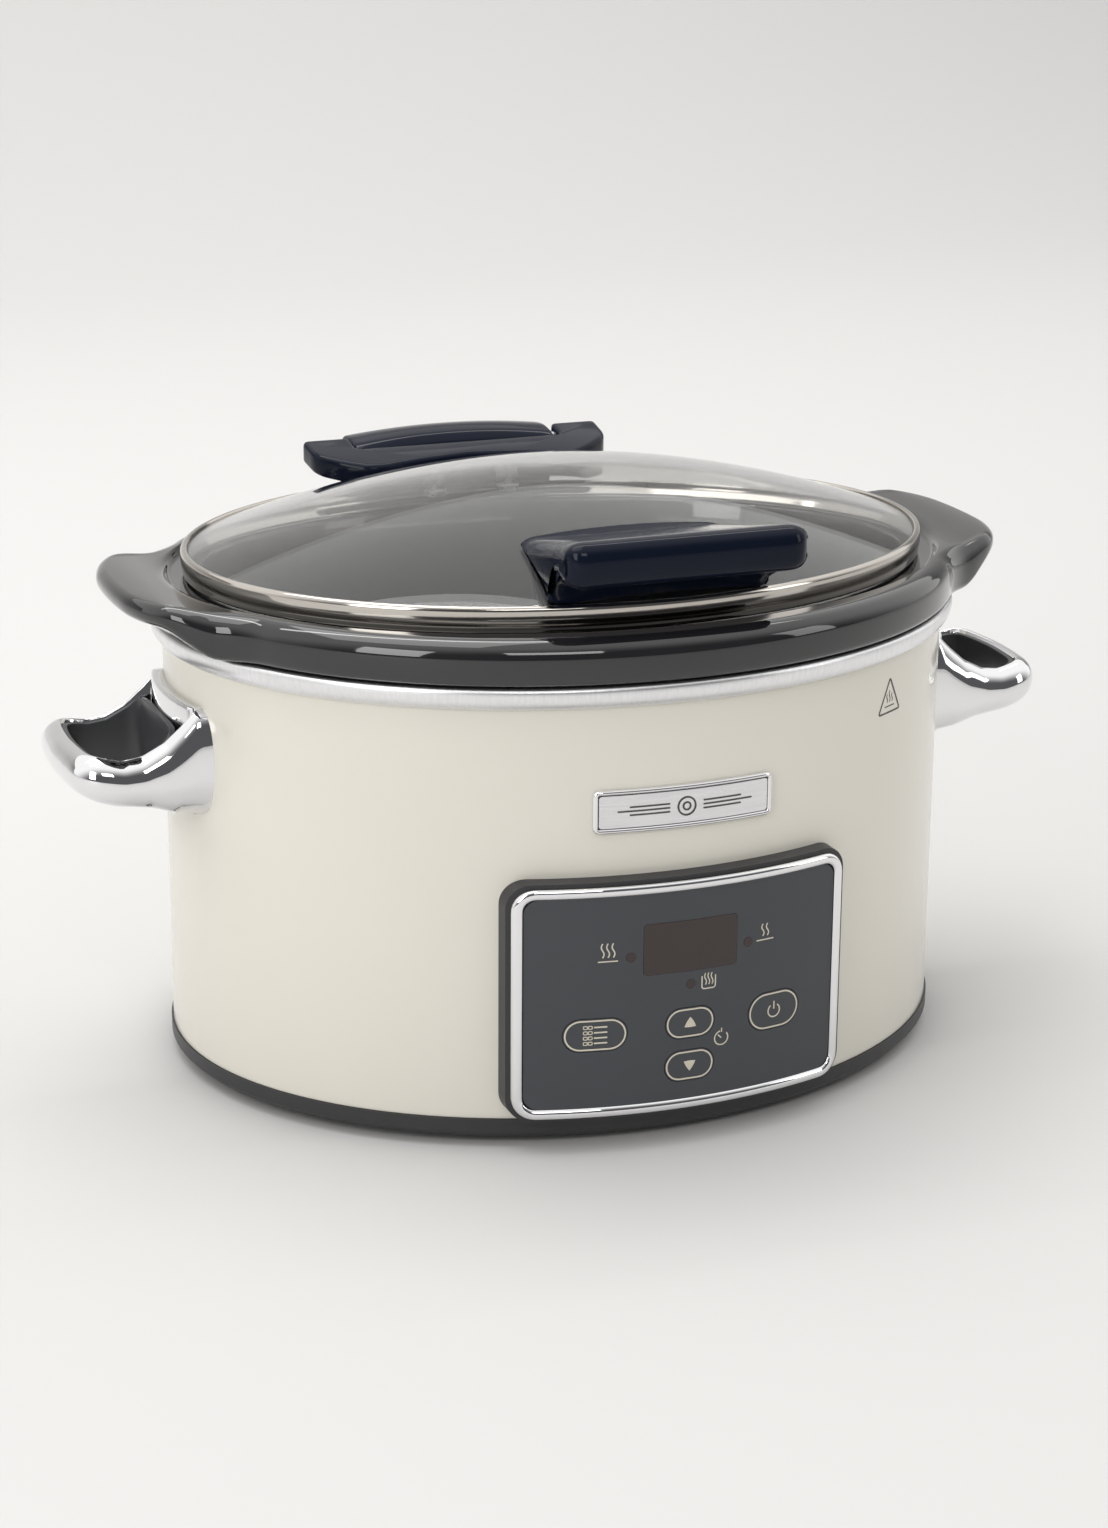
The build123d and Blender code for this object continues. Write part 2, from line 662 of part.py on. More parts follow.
def save_handles():
    loop = make_handle()
    lining = make_handle_insert()
    screws = []
    for y, z in handle_screw_places:
        wall = body_a * math.sqrt(1 - (y / body_b) ** 2) - 2.2
        screws.append(screw((wall, y, z), (1, 0, 0), 1.85, 13, 3.6, 2.4))
    save("handle_right", loop)
    save("handle_insert_right", lining)
    save("handle_left", mirror(loop, Plane.YZ))
    save("handle_insert_left", mirror(lining, Plane.YZ))
    save("handle_screws", *screws, *[mirror(s, Plane.YZ) for s in screws])


def save_panel():
    save("panel_housing", make_panel_housing())
    save("panel_bezel", make_panel_bezel())
    save("panel_face", make_panel_face())
    save("display_window", make_display_window())
    save("display_module", make_display_module())
    save("control_board", make_control_board())
    for name, (x, z) in lens_places.items():
        save(name, make_lens(x, z))
    for name, size in keys.items():
        save(name, make_key(*size))
        save(name.replace("key", "switch"), make_switch(size[0], size[1]))
    place = [(x, -board_y - 0.02, z) for x, z in board_screw_places]
    save("panel_screws", *[screw(p, (0, 1, 0), 1.05, 7, 2.4, 1.3) for p in place])
    save("badge_plate", make_badge_plate())
    save("badge_frame", make_badge_frame())
    save("badge_studs", *make_badge_studs())


save_base()
save_electrics()
save_crock_and_lid()
save_handles()
save_panel()
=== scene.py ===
import json
import math

import bmesh
import bpy
import numpy as np
from mathutils import Matrix, Vector


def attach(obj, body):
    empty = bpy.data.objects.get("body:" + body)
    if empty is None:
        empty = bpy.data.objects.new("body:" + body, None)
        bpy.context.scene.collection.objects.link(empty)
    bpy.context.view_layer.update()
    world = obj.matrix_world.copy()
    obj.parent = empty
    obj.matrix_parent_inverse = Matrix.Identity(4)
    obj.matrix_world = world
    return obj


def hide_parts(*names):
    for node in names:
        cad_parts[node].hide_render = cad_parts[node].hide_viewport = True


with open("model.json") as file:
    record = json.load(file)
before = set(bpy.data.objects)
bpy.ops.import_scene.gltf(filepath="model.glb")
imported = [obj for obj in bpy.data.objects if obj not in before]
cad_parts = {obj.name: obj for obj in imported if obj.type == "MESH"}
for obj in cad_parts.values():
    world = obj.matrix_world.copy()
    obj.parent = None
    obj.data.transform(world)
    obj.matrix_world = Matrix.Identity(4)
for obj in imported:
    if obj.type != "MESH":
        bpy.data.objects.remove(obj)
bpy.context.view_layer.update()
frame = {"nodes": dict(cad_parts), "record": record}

mm = 0.001
fullTurn = 2 * math.pi


# camera, floor and light

cameraSettings = {
    "azimuth": -21.43,          # degrees, 0 looks along +Y
    "elevation": 17.58,
    "distance": 1.3833,
    "target": (-0.0003, 0.0, 0.11305),
    "roll": 0.37,
    "lens": 76.94,
}


def addCamera(s):
    az, el, roll = (math.radians(s[k]) for k in ("azimuth", "elevation", "roll"))
    back = Vector((math.sin(az) * math.cos(el), -math.cos(az) * math.cos(el), math.sin(el)))
    right = Vector((0, 0, 1)).cross(back).normalized()
    up = back.cross(right)
    tiltedRight = right * math.cos(roll) + up * math.sin(roll)
    tiltedUp = up * math.cos(roll) - right * math.sin(roll)
    data = bpy.data.cameras.new("mainView")
    data.lens = s["lens"]
    data.sensor_fit = "AUTO"
    data.sensor_width = 36
    camera = bpy.data.objects.new("mainView", data)
    bpy.context.scene.collection.objects.link(camera)
    turn = Matrix((tiltedRight, tiltedUp, back)).transposed().to_4x4()
    camera.matrix_world = Matrix.Translation(Vector(s["target"]) + back * s["distance"]) @ turn
    bpy.context.scene.camera = camera


addCamera(cameraSettings)

floorSettings = {
    "color": (0.62, 0.614, 0.608),
    "size": 6.0,
    "wallDistance": 1.9,
    "wallHeight": 2.2,
    "bend": 1.3,                # radius between floor and backdrop
}

lightSettings = [
    # name, place, what it looks at, size, power, colour
    ("overheadSoftbox", (-0.35, 0.25, 1.7), (0, 0, 0.12), (1.5, 0.9), 8.6, (1.0, 0.995, 0.985)),
    ("leftWindow", (-1.75, -1.35, 0.95), (0, 0, 0.12), (0.75, 1.3), 13.8, (1.0, 0.995, 0.985)),
    ("rightFill", (1.75, -1.25, 0.8), (0, 0, 0.12), (0.5, 1.1), 3.8, (1.0, 0.995, 0.985)),
    ("frontFill", (-0.35, -2.0, 1.5), (0, 0, 0.12), (0.9, 0.5), 6.4, (1.0, 0.995, 0.985)),
    ("backdropWash", (0.0, 0.9, 2.5), (0.0, 3.2, 0.7), (3.2, 0.7), 46.0, (1.0, 0.995, 0.985)),
]

roomSettings = {
    "seen": (0.86, 0.855, 0.85),     # what shows past the floor's edge
    "back": (1.12, 1.115, 1.10),    # what surfaces mirror from behind and above
    "front": (0.10, 0.10, 0.105),    # and from the dim side of the room, where the panel faces
    "turn": (-0.50, 0.46),           # share of y + 0.85 z between which one becomes the other
}


def meshObject(name, verts, faces, smooth=True):
    mesh = bpy.data.meshes.new(name)
    mesh.from_pydata(np.asarray(verts, float).tolist(), [], faces)
    mesh.update()
    if smooth:
        mesh.polygons.foreach_set("use_smooth", [True] * len(mesh.polygons))
    obj = bpy.data.objects.new(name, mesh)
    bpy.context.scene.collection.objects.link(obj)
    return obj


def gridFaces(rows, columns, closeRows=False, closeColumns=False):
    # Quads between neighbours of a rows x columns grid, wrapped where asked.
    r = np.arange(rows if closeRows else rows - 1)[:, None]
    c = np.arange(columns if closeColumns else columns - 1)[None, :]
    nextR, nextC = (r + 1) % rows, (c + 1) % columns
    quads = np.stack(np.broadcast_arrays(
        r * columns + c, r * columns + nextC, nextR * columns + nextC, nextR * columns + c), axis=-1)
    return quads.reshape(-1, 4).tolist()


def addFloor(s):
    # a flat floor that bends up through a quarter circle into a wall behind
    t = np.linspace(0, math.pi / 2, 16)
    wall = s["wallDistance"] + s["bend"]
    y = np.concatenate([[-s["size"]], s["wallDistance"] + s["bend"] * np.sin(t), [wall]])
    z = np.concatenate([[0], s["bend"] * (1 - np.cos(t)), [s["wallHeight"]]])
    x = np.array([-s["size"], s["size"]])
    grid = np.stack(np.broadcast_arrays(x[:, None], y[None, :], z[None, :]), axis=-1)
    verts = grid.reshape(-1, 3)
    floor = meshObject("studioFloor", verts, gridFaces(2, len(y)))
    material = bpy.data.materials.new("paperSweep")
    material.use_nodes = True
    shader = material.node_tree.nodes["Principled BSDF"]
    shader.inputs["Base Color"].default_value = (*s["color"], 1)
    shader.inputs["Roughness"].default_value = 0.75
    shader.inputs["Specular IOR Level"].default_value = 0.2
    floor.data.materials.append(material)


def addLights(lights):
    for name, place, aim, size, power, color in lights:
        data = bpy.data.lights.new(name, "AREA")
        data.shape = "RECTANGLE"
        data.size, data.size_y = size
        data.energy = power
        data.color = color
        light = bpy.data.objects.new(name, data)
        light.location = place
        light.rotation_euler = (Vector(aim) - Vector(place)).to_track_quat("-Z", "Y").to_euler()
        bpy.context.scene.collection.objects.link(light)


def addRoom(s):
    # the room is bright behind and above the object and dim in front: a blend over y + 0.85 z
    world = bpy.data.worlds.new("softRoom")
    world.use_nodes = True
    bpy.context.scene.world = world
    tree = world.node_tree
    background = tree.nodes["Background"]
    direction = tree.nodes.new("ShaderNodeTexCoord").outputs["Generated"]
    lean = tree.nodes.new("ShaderNodeVectorMath")
    lean.operation = "DOT_PRODUCT"
    lean.inputs[1].default_value = (0.0, 1.0, 0.85)
    tree.links.new(direction, lean.inputs[0])
    blend = tree.nodes.new("ShaderNodeMapRange")
    blend.interpolation_type = "SMOOTHSTEP"
    blend.inputs["From Min"].default_value, blend.inputs["From Max"].default_value = s["turn"]
    tree.links.new(lean.outputs["Value"], blend.inputs["Value"])
    room = tree.nodes.new("ShaderNodeMix")
    room.data_type = "RGBA"
    room.inputs[6].default_value = (*s["front"], 1)
    room.inputs[7].default_value = (*s["back"], 1)
    tree.links.new(blend.outputs["Result"], room.inputs["Factor"])
    seen = tree.nodes.new("ShaderNodeMix")
    seen.data_type = "RGBA"
    seen.inputs[7].default_value = (*s["seen"], 1)
    tree.links.new(tree.nodes.new("ShaderNodeLightPath").outputs["Is Camera Ray"], seen.inputs["Factor"])
    tree.links.new(room.outputs[2], seen.inputs[6])
    tree.links.new(seen.outputs[2], background.inputs["Color"])


bpy.context.scene.view_settings.view_transform = "Standard"
addFloor(floorSettings)
addLights(lightSettings)
addRoom(roomSettings)
print("camera, floor and light are set")


# shared shader effects, as node groups

def newGroup(name, inputs, outputs):
    group = bpy.data.node_groups.new(name, "ShaderNodeTree")
    for label, kind, value in inputs:
        socket = group.interface.new_socket(name=label, in_out="INPUT", socket_type=kind)
        if value is not None:
            socket.default_value = value
    for label, kind in outputs:
        group.interface.new_socket(name=label, in_out="OUTPUT", socket_type=kind)
    return group, group.nodes.new("NodeGroupInput"), group.nodes.new("NodeGroupOutput")


def wire(tree, fromSocket, toSocket):
    tree.links.new(fromSocket, toSocket)


def mathNode(tree, kind, a, b=None, clamp=False):
    node = tree.nodes.new("ShaderNodeMath")
    node.operation = kind
    node.use_clamp = clamp
    for index, value in enumerate((a, b)):
        if value is None:
            continue
        if isinstance(value, (int, float)):
            node.inputs[index].default_value = value
        else:
            wire(tree, value, node.inputs[index])
    return node.outputs[0]


def mixColor(tree, share, a, b):
    node = tree.nodes.new("ShaderNodeMix")
    node.data_type = "RGBA"
    for socket, value in ((node.inputs["Factor"], share), (node.inputs[6], a), (node.inputs[7], b)):
        if isinstance(value, (int, float)):
            socket.default_value = value
        elif isinstance(value, tuple):
            socket.default_value = (*value[:3], 1)
        else:
            wire(tree, value, socket)
    return node.outputs[2]


def buildSpeckle():
    # noise at two scales, turned into a tint mask and a roughness that wander a little
    group, inside, outside = newGroup(
        "surfaceMottle",
        [("Vector", "NodeSocketVector", None), ("Scale", "NodeSocketFloat", 20.0),
         ("Roughness", "NodeSocketFloat", 0.3), ("Spread", "NodeSocketFloat", 0.08)],
        [("Mask", "NodeSocketFloat"), ("Roughness", "NodeSocketFloat"), ("Fine", "NodeSocketFloat")])
    broad = group.nodes.new("ShaderNodeTexNoise")
    broad.inputs["Detail"].default_value = 4
    fine = group.nodes.new("ShaderNodeTexNoise")
    fine.inputs["Detail"].default_value = 2
    wire(group, inside.outputs["Vector"], broad.inputs["Vector"])
    wire(group, inside.outputs["Vector"], fine.inputs["Vector"])
    wire(group, inside.outputs["Scale"], broad.inputs["Scale"])
    wire(group, mathNode(group, "MULTIPLY", inside.outputs["Scale"], 24.0), fine.inputs["Scale"])
    centred = mathNode(group, "SUBTRACT", broad.outputs["Fac"], 0.5)
    swing = mathNode(group, "MULTIPLY", centred, inside.outputs["Spread"])
    wire(group, broad.outputs["Fac"], outside.inputs["Mask"])
    wandering = mathNode(group, "ADD", inside.outputs["Roughness"], swing, True)
    wire(group, wandering, outside.inputs["Roughness"])
    wire(group, fine.outputs["Fac"], outside.inputs["Fine"])
    return group


def buildEdgeWear():
    # the difference between a rounded normal and the true one marks edges; noise breaks it up
    group, inside, outside = newGroup(
        "edgeWear",
        [("Vector", "NodeSocketVector", None), ("Width", "NodeSocketFloat", 0.0012),
         ("Amount", "NodeSocketFloat", 0.5)],
        [("Mask", "NodeSocketFloat")])
    bevel = group.nodes.new("ShaderNodeBevel")
    bevel.samples = 4
    wire(group, inside.outputs["Width"], bevel.inputs["Radius"])
    geometry = group.nodes.new("ShaderNodeNewGeometry")
    dot = group.nodes.new("ShaderNodeVectorMath")
    dot.operation = "DOT_PRODUCT"
    wire(group, bevel.outputs["Normal"], dot.inputs[0])
    wire(group, geometry.outputs["Normal"], dot.inputs[1])
    edge = mathNode(group, "MULTIPLY", mathNode(group, "SUBTRACT", 1.0, dot.outputs["Value"]), 4.0, True)
    noise = group.nodes.new("ShaderNodeTexNoise")
    noise.inputs["Scale"].default_value = 160
    wire(group, inside.outputs["Vector"], noise.inputs["Vector"])
    broken = mathNode(group, "MULTIPLY", edge, noise.outputs["Fac"])
    wire(group, mathNode(group, "MULTIPLY", broken, inside.outputs["Amount"], True), outside.inputs["Mask"])
    return group


def buildBrushing():
    # noise stretched along one direction, as very fine scratches
    group, inside, outside = newGroup(
        "brushedGrain",
        [("Vector", "NodeSocketVector", None), ("Across", "NodeSocketVector", (1.0, 1.0, 1.0)),
         ("Roughness", "NodeSocketFloat", 0.3), ("Spread", "NodeSocketFloat", 0.2)],
        [("Height", "NodeSocketFloat"), ("Roughness", "NodeSocketFloat"), ("Mask", "NodeSocketFloat")])
    stretch = group.nodes.new("ShaderNodeVectorMath")
    stretch.operation = "MULTIPLY"
    wire(group, inside.outputs["Vector"], stretch.inputs[0])
    wire(group, inside.outputs["Across"], stretch.inputs[1])
    noise = group.nodes.new("ShaderNodeTexNoise")
    noise.inputs["Scale"].default_value = 1.0
    noise.inputs["Detail"].default_value = 5
    wire(group, stretch.outputs[0], noise.inputs["Vector"])
    centred = mathNode(group, "SUBTRACT", noise.outputs["Fac"], 0.5)
    swing = mathNode(group, "MULTIPLY", centred, inside.outputs["Spread"])
    wire(group, noise.outputs["Fac"], outside.inputs["Height"])
    wire(group, noise.outputs["Fac"], outside.inputs["Mask"])
    wandering = mathNode(group, "ADD", inside.outputs["Roughness"], swing, True)
    wire(group, wandering, outside.inputs["Roughness"])
    return group


mottleGroup = buildSpeckle()
wearGroup = buildEdgeWear()
grainGroup = buildBrushing()


def useGroup(tree, group, coordinates, **values):
    node = tree.nodes.new("ShaderNodeGroup")
    node.node_tree = group
    wire(tree, coordinates, node.inputs["Vector"])
    for label, value in values.items():
        node.inputs[label].default_value = value
    return node


def startMaterial(name, **fixed):
    # A material with its Principled shader and Object coordinates; fixed sets plain socket values.
    material = bpy.data.materials.new(name)
    material.use_nodes = True
    tree = material.node_tree
    shader = tree.nodes["Principled BSDF"]
    for label, value in fixed.items():
        shader.inputs[label.replace("_", " ")].default_value = value
    place = tree.nodes.new("ShaderNodeTexCoord").outputs["Object"]
    return material, tree, shader, place


def addBump(tree, shader, height, strength, distance):
    bump = tree.nodes.new("ShaderNodeBump")
    bump.inputs["Strength"].default_value = strength
    bump.inputs["Distance"].default_value = distance
    wire(tree, height, bump.inputs["Height"])
    wire(tree, bump.outputs["Normal"], shader.inputs["Normal"])


finishes = {
    # colour and partner, roughness and spread, mottle scale, bump strength, coat weight, index if not 1.5
    "creamPaint": dict(a=(0.735, 0.708, 0.628), b=(0.765, 0.738, 0.658),
                       rough=0.24, spread=0.06, scale=9, bump=0.05, coat=0.45),
    "blackGlaze": dict(a=(0.010, 0.0102, 0.0115), b=(0.016, 0.016, 0.0175),
                       rough=0.05, spread=0.04, scale=16, bump=0.05, coat=0.6),
    "navyPlastic": dict(a=(0.004, 0.0065, 0.015), b=(0.0065, 0.0095, 0.021),
                        rough=0.09, spread=0.05, scale=30, bump=0.04, coat=0.0, ior=1.25),
    "darkBase": dict(a=(0.022, 0.022, 0.025), b=(0.032, 0.032, 0.035),
                     rough=0.42, spread=0.1, scale=40, bump=0.25, coat=0.0),
    "darkLining": dict(a=(0.035, 0.036, 0.040), b=(0.05, 0.05, 0.054),
                       rough=0.38, spread=0.1, scale=40, bump=0.2, coat=0.0),
    "graphiteFace": dict(a=(0.045, 0.048, 0.055), b=(0.052, 0.056, 0.064),
                         rough=0.46, spread=0.06, scale=30, bump=0.12, coat=0.0),
    "smokedWindow": dict(a=(0.022, 0.012, 0.012), b=(0.030, 0.016, 0.015),
                         rough=0.18, spread=0.05, scale=25, bump=0.02, coat=0.2),
    "creamPrint": dict(a=(0.62, 0.57, 0.46), b=(0.66, 0.61, 0.50),
                       rough=0.5, spread=0.08, scale=60, bump=0.05, coat=0.0),
    "footRubber": dict(a=(0.02, 0.02, 0.02), b=(0.035, 0.035, 0.035),
                       rough=0.8, spread=0.1, scale=60, bump=0.4, coat=0.0),
    "circuitBoard": dict(a=(0.02, 0.13, 0.05), b=(0.03, 0.17, 0.07),
                         rough=0.4, spread=0.1, scale=80, bump=0.2, coat=0.1),
    "componentBlack": dict(a=(0.02, 0.02, 0.022), b=(0.035, 0.035, 0.038),
                           rough=0.5, spread=0.1, scale=60, bump=0.2, coat=0.0),
    "heaterWrap": dict(a=(0.55, 0.52, 0.45), b=(0.66, 0.63, 0.56),
                       rough=0.9, spread=0.1, scale=120, bump=0.6, coat=0.0),
    "wireSleeve": dict(a=(0.62, 0.62, 0.60), b=(0.70, 0.70, 0.68),
                       rough=0.5, spread=0.1, scale=60, bump=0.2, coat=0.0),
    "clearSilicone": dict(a=(0.55, 0.55, 0.53), b=(0.62, 0.62, 0.60),
                          rough=0.45, spread=0.1, scale=60, bump=0.2, coat=0.0),
    "markPrint": dict(a=(0.05, 0.047, 0.042), b=(0.065, 0.06, 0.055),
                      rough=0.4, spread=0.05, scale=60, bump=0.02, coat=0.0),
}


def plasticOrPaint(name, f):
    material, tree, shader, place = startMaterial(
        name, Coat_Weight=f["coat"], Coat_Roughness=0.04, Coat_IOR=f.get("ior", 1.5), IOR=f.get("ior", 1.5))
    mottle = useGroup(tree, mottleGroup, place, Scale=f["scale"], Roughness=f["rough"], Spread=f["spread"])
    wear = useGroup(tree, wearGroup, place, Width=0.0008, Amount=0.25)
    base = mixColor(tree, mottle.outputs["Mask"], f["a"], f["b"])
    lighter = tuple(min(1.0, c * 1.5 + 0.01) for c in f["b"])
    wire(tree, mixColor(tree, wear.outputs["Mask"], base, lighter), shader.inputs["Base Color"])
    wire(tree, mottle.outputs["Roughness"], shader.inputs["Roughness"])
    addBump(tree, shader, mottle.outputs["Fine"], f["bump"], 0.00006)
    return material


metals = {
    # colour, partner, roughness, spread, grain stretch (X, Y, Z), bump
    "spunAluminium": dict(a=(0.92, 0.92, 0.93), b=(0.74, 0.74, 0.755),
                          rough=0.34, spread=0.24, across=(900, 900, 60), bump=0.6),
    "stainlessRim": dict(a=(0.60, 0.565, 0.52), b=(0.52, 0.49, 0.45),
                         rough=0.10, spread=0.08, across=(60, 60, 900), bump=0.08),
    "brightChrome": dict(a=(0.86, 0.86, 0.87), b=(0.80, 0.80, 0.815),
                         rough=0.045, spread=0.03, across=(40, 40, 40), bump=0.02),
    "zincSteel": dict(a=(0.62, 0.63, 0.65), b=(0.50, 0.51, 0.53),
                      rough=0.3, spread=0.2, across=(300, 300, 300), bump=0.3),
    "galvanisedSheet": dict(a=(0.55, 0.56, 0.58), b=(0.44, 0.45, 0.47),
                            rough=0.45, spread=0.2, across=(60, 60, 60), bump=0.2),
    "silverBadge": dict(a=(0.86, 0.86, 0.87), b=(0.74, 0.74, 0.755),
                        rough=0.3, spread=0.2, across=(40, 40, 1600), bump=0.35),
}


def metal(name, f):
    material, tree, shader, place = startMaterial(name, Metallic=1.0)
    grain = useGroup(tree, grainGroup, place, Across=f["across"], Roughness=f["rough"], Spread=f["spread"])
    wire(tree, mixColor(tree, grain.outputs["Mask"], f["a"], f["b"]), shader.inputs["Base Color"])
    wire(tree, grain.outputs["Roughness"], shader.inputs["Roughness"])
    addBump(tree, shader, grain.outputs["Height"], f["bump"], 0.00005)
    return material


def clearGlass():
    material, tree, shader, place = startMaterial(
        "clearGlass", Transmission_Weight=1.0, IOR=1.47, Metallic=0.0)
    mottle = useGroup(tree, mottleGroup, place, Scale=6.0, Roughness=0.015, Spread=0.02)
    wire(tree, mixColor(tree, mottle.outputs["Mask"], (0.955, 0.965, 0.96), (0.975, 0.98, 0.975)),
         shader.inputs["Base Color"])
    wire(tree, mottle.outputs["Roughness"], shader.inputs["Roughness"])
    return material


palette = {name: plasticOrPaint(name, f) for name, f in finishes.items()}
palette.update({name: metal(name, f) for name, f in metals.items()})
palette["clearGlass"] = clearGlass()

slotFinish = {
    "cream_paint": "creamPaint", "spun_aluminium": "spunAluminium", "dark_base": "darkBase",
    "foot_rubber": "footRubber", "black_glaze": "blackGlaze", "clear_glass": "clearGlass",
    "stainless_rim": "stainlessRim", "navy_plastic": "navyPlastic", "bright_chrome": "brightChrome",
    "dark_lining": "darkLining", "graphite_face": "graphiteFace", "smoked_window": "smokedWindow",
    "zinc_steel": "zincSteel", "galvanised_sheet": "galvanisedSheet", "circuit_board": "circuitBoard",
    "heater_wrap": "heaterWrap", "component_black": "componentBlack", "wire_sleeve": "wireSleeve",
    "silver_badge": "silverBadge", "clear_silicone": "clearSilicone",
}

for part in frame["record"]["subparts"]:
    node = frame["nodes"][part["node"]]
    for slotIndex in range(len(node.material_slots)):
        node.material_slots[slotIndex].material = palette[slotFinish[part["material_slot"]]]
print("materials made:", len(palette))


# shape tools; lengths below are in millimetres until a mesh is made

def throughPoints(points, perSpan):
    # Closed Catmull-Rom curve: each span is a cubic that passes through its two middle points.
    p = np.asarray(points, float)
    before, after, beyond = np.roll(p, 1, 0), np.roll(p, -1, 0), np.roll(p, -2, 0)
    t = (np.arange(perSpan) / perSpan)[None, :, None]
    a, b, c, d = (q[:, None, :] for q in (before, p, after, beyond))
    square = (2 * a - 5 * b + 4 * c - d) * t ** 2
    cube = (3 * b - a - 3 * c + d) * t ** 3
    curve = 0.5 * (2 * b + (c - a) * t + square + cube)
    return curve.reshape(-1, p.shape[1])


def evenly(loop, count):
    # The closed loop again, as count points at equal distances along it.
    ring = np.vstack([loop, loop[:1]])
    along = np.concatenate([[0], np.cumsum(np.linalg.norm(np.diff(ring, axis=0), axis=1))])
    at = np.linspace(0, along[-1], count, endpoint=False)
    return np.stack([np.interp(at, along, ring[:, k]) for k in range(loop.shape[1])], axis=1)


def roundCorners(points, radii, steps=5, closed=True):
    # Each corner becomes a parabola between two points that lie its radius away along both sides.
    p = np.asarray(points, float)
    radii = np.broadcast_to(np.asarray(radii, float), (len(p),))[:, None]
    before, after = np.roll(p, 1, 0), np.roll(p, -1, 0)
    sideA, sideB = before - p, after - p
    lenA = np.linalg.norm(sideA, axis=1, keepdims=True)
    lenB = np.linalg.norm(sideB, axis=1, keepdims=True)
    reach = np.minimum(radii, 0.48 * np.minimum(lenA, lenB))
    start, end = p + sideA / lenA * reach, p + sideB / lenB * reach
    if not closed:
        start[0] = end[0] = p[0]
        start[-1] = end[-1] = p[-1]
    t = np.linspace(0, 1, steps)[None, :, None]
    curve = (1 - t) ** 2 * start[:, None] + 2 * t * (1 - t) * p[:, None] + t ** 2 * end[:, None]
    return curve.reshape(-1, p.shape[1])


def outwardNormals(loop):
    # Unit normals of a closed plan loop that runs counter-clockwise.
    along = np.roll(loop, -1, 0) - np.roll(loop, 1, 0)
    normal = np.stack([along[:, 1], -along[:, 0]], axis=1)
    return normal / np.maximum(np.linalg.norm(normal, axis=1, keepdims=True), 1e-9)


def counterClockwise(loop):
    area = np.sum(loop[:, 0] * np.roll(loop[:, 1], -1) - np.roll(loop[:, 0], -1) * loop[:, 1])
    return loop if area > 0 else loop[::-1]


def insetLoop(loop, distance):
    return loop - outwardNormals(loop) * distance


def smoothStep(value, low, high):
    t = np.clip((value - low) / (high - low), 0, 1)
    return t * t * (3 - 2 * t)


def facesOutward(obj):
    bm = bmesh.new()
    bm.from_mesh(obj.data)
    bmesh.ops.remove_doubles(bm, verts=bm.verts, dist=1e-7)
    bmesh.ops.recalc_face_normals(bm, faces=bm.faces)
    bm.to_mesh(obj.data)
    bm.free()
    obj.data.polygons.foreach_set("use_smooth", [True] * len(obj.data.polygons))


def finishPiece(obj, finish, body, slotName, *replaced):
    obj.data.materials.append(palette[finish])
    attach(obj, body)
    if replaced:
        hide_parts(*replaced)
    return obj


def loftLoops(name, loops, closeRows=False, capEnds=True):
    # Quads between loops of equal length; the first and last loop are closed with one face each.
    grid = np.asarray(loops)
    rows, columns = grid.shape[:2]
    faces = gridFaces(rows, columns, closeRows=closeRows, closeColumns=True)
    if capEnds and not closeRows:
        faces.append(list(range(columns))[::-1])
        faces.append(list(range((rows - 1) * columns, rows * columns)))
    obj = meshObject(name, grid.reshape(-1, 3) * mm, faces)
    facesOutward(obj)
    return obj


ovalCount = 256
ovalTurn = np.linspace(0, fullTurn, ovalCount, endpoint=False)


def ovalLoops(profile, turn=ovalTurn):
    # x = a cos(u), y = b sin(u), z for each (a, b, z) of the profile.
    p = np.asarray(profile, float)
    x = p[:, :1] * np.cos(turn)[None]
    y = p[:, 1:2] * np.sin(turn)[None]
    return np.stack(np.broadcast_arrays(x, y, p[:, 2:3] + 0 * x), axis=-1)


def roundedRectangle(width, height, radius, spacing=3.0):
    # Counter-clockwise outline with circular corners and its straight sides divided evenly.
    corner = np.linspace(0, math.pi / 2, 9)
    points = []
    for k, (sx, sy) in enumerate(((1, 1), (-1, 1), (-1, -1), (1, -1))):
        centre = np.array([sx * (width / 2 - radius), sy * (height / 2 - radius)])
        turned = corner + k * math.pi / 2
        points.append(centre + radius * np.stack([np.cos(turned), np.sin(turned)], axis=1))
    loop = np.vstack(points)
    return evenly(loop, int((width + height) * 2 / spacing / 4) * 4)


def prismLoops(outline, levels, place, capSteps=0):
    # Loops of an outline at (inset, depth) levels; capSteps more shrink each end towards its centre.
    centre = (outline.max(0) + outline.min(0)) / 2
    shares = 1 - np.arange(1, capSteps + 1) / (capSteps + 0.5)
    first = insetLoop(outline, levels[0][0])
    last = insetLoop(outline, levels[-1][0])
    flat = [(centre + (first - centre) * s, levels[0][1]) for s in shares[::-1]]
    flat += [(insetLoop(outline, inset), depth) for inset, depth in levels]
    flat += [(centre + (last - centre) * s, levels[-1][1]) for s in shares]
    return [place(loop[:, 0], loop[:, 1], depth) for loop, depth in flat]


bodySize = {"a": 165.0, "b": 137.6, "bottom": 12.0, "top": 179.0}


def onFront(x, z, out):
    # Point on the oval body's front at width x and height z, out millimetres outside the paint.
    a, b = bodySize["a"] + out, bodySize["b"] + out
    return np.stack([x, -b * np.sqrt(1 - (x / a) ** 2), z + 0 * x], axis=-1)


# painted shell and the heating well with its rolled rim

shellSettings = {"sheet": 1.0, "edge": 0.4}


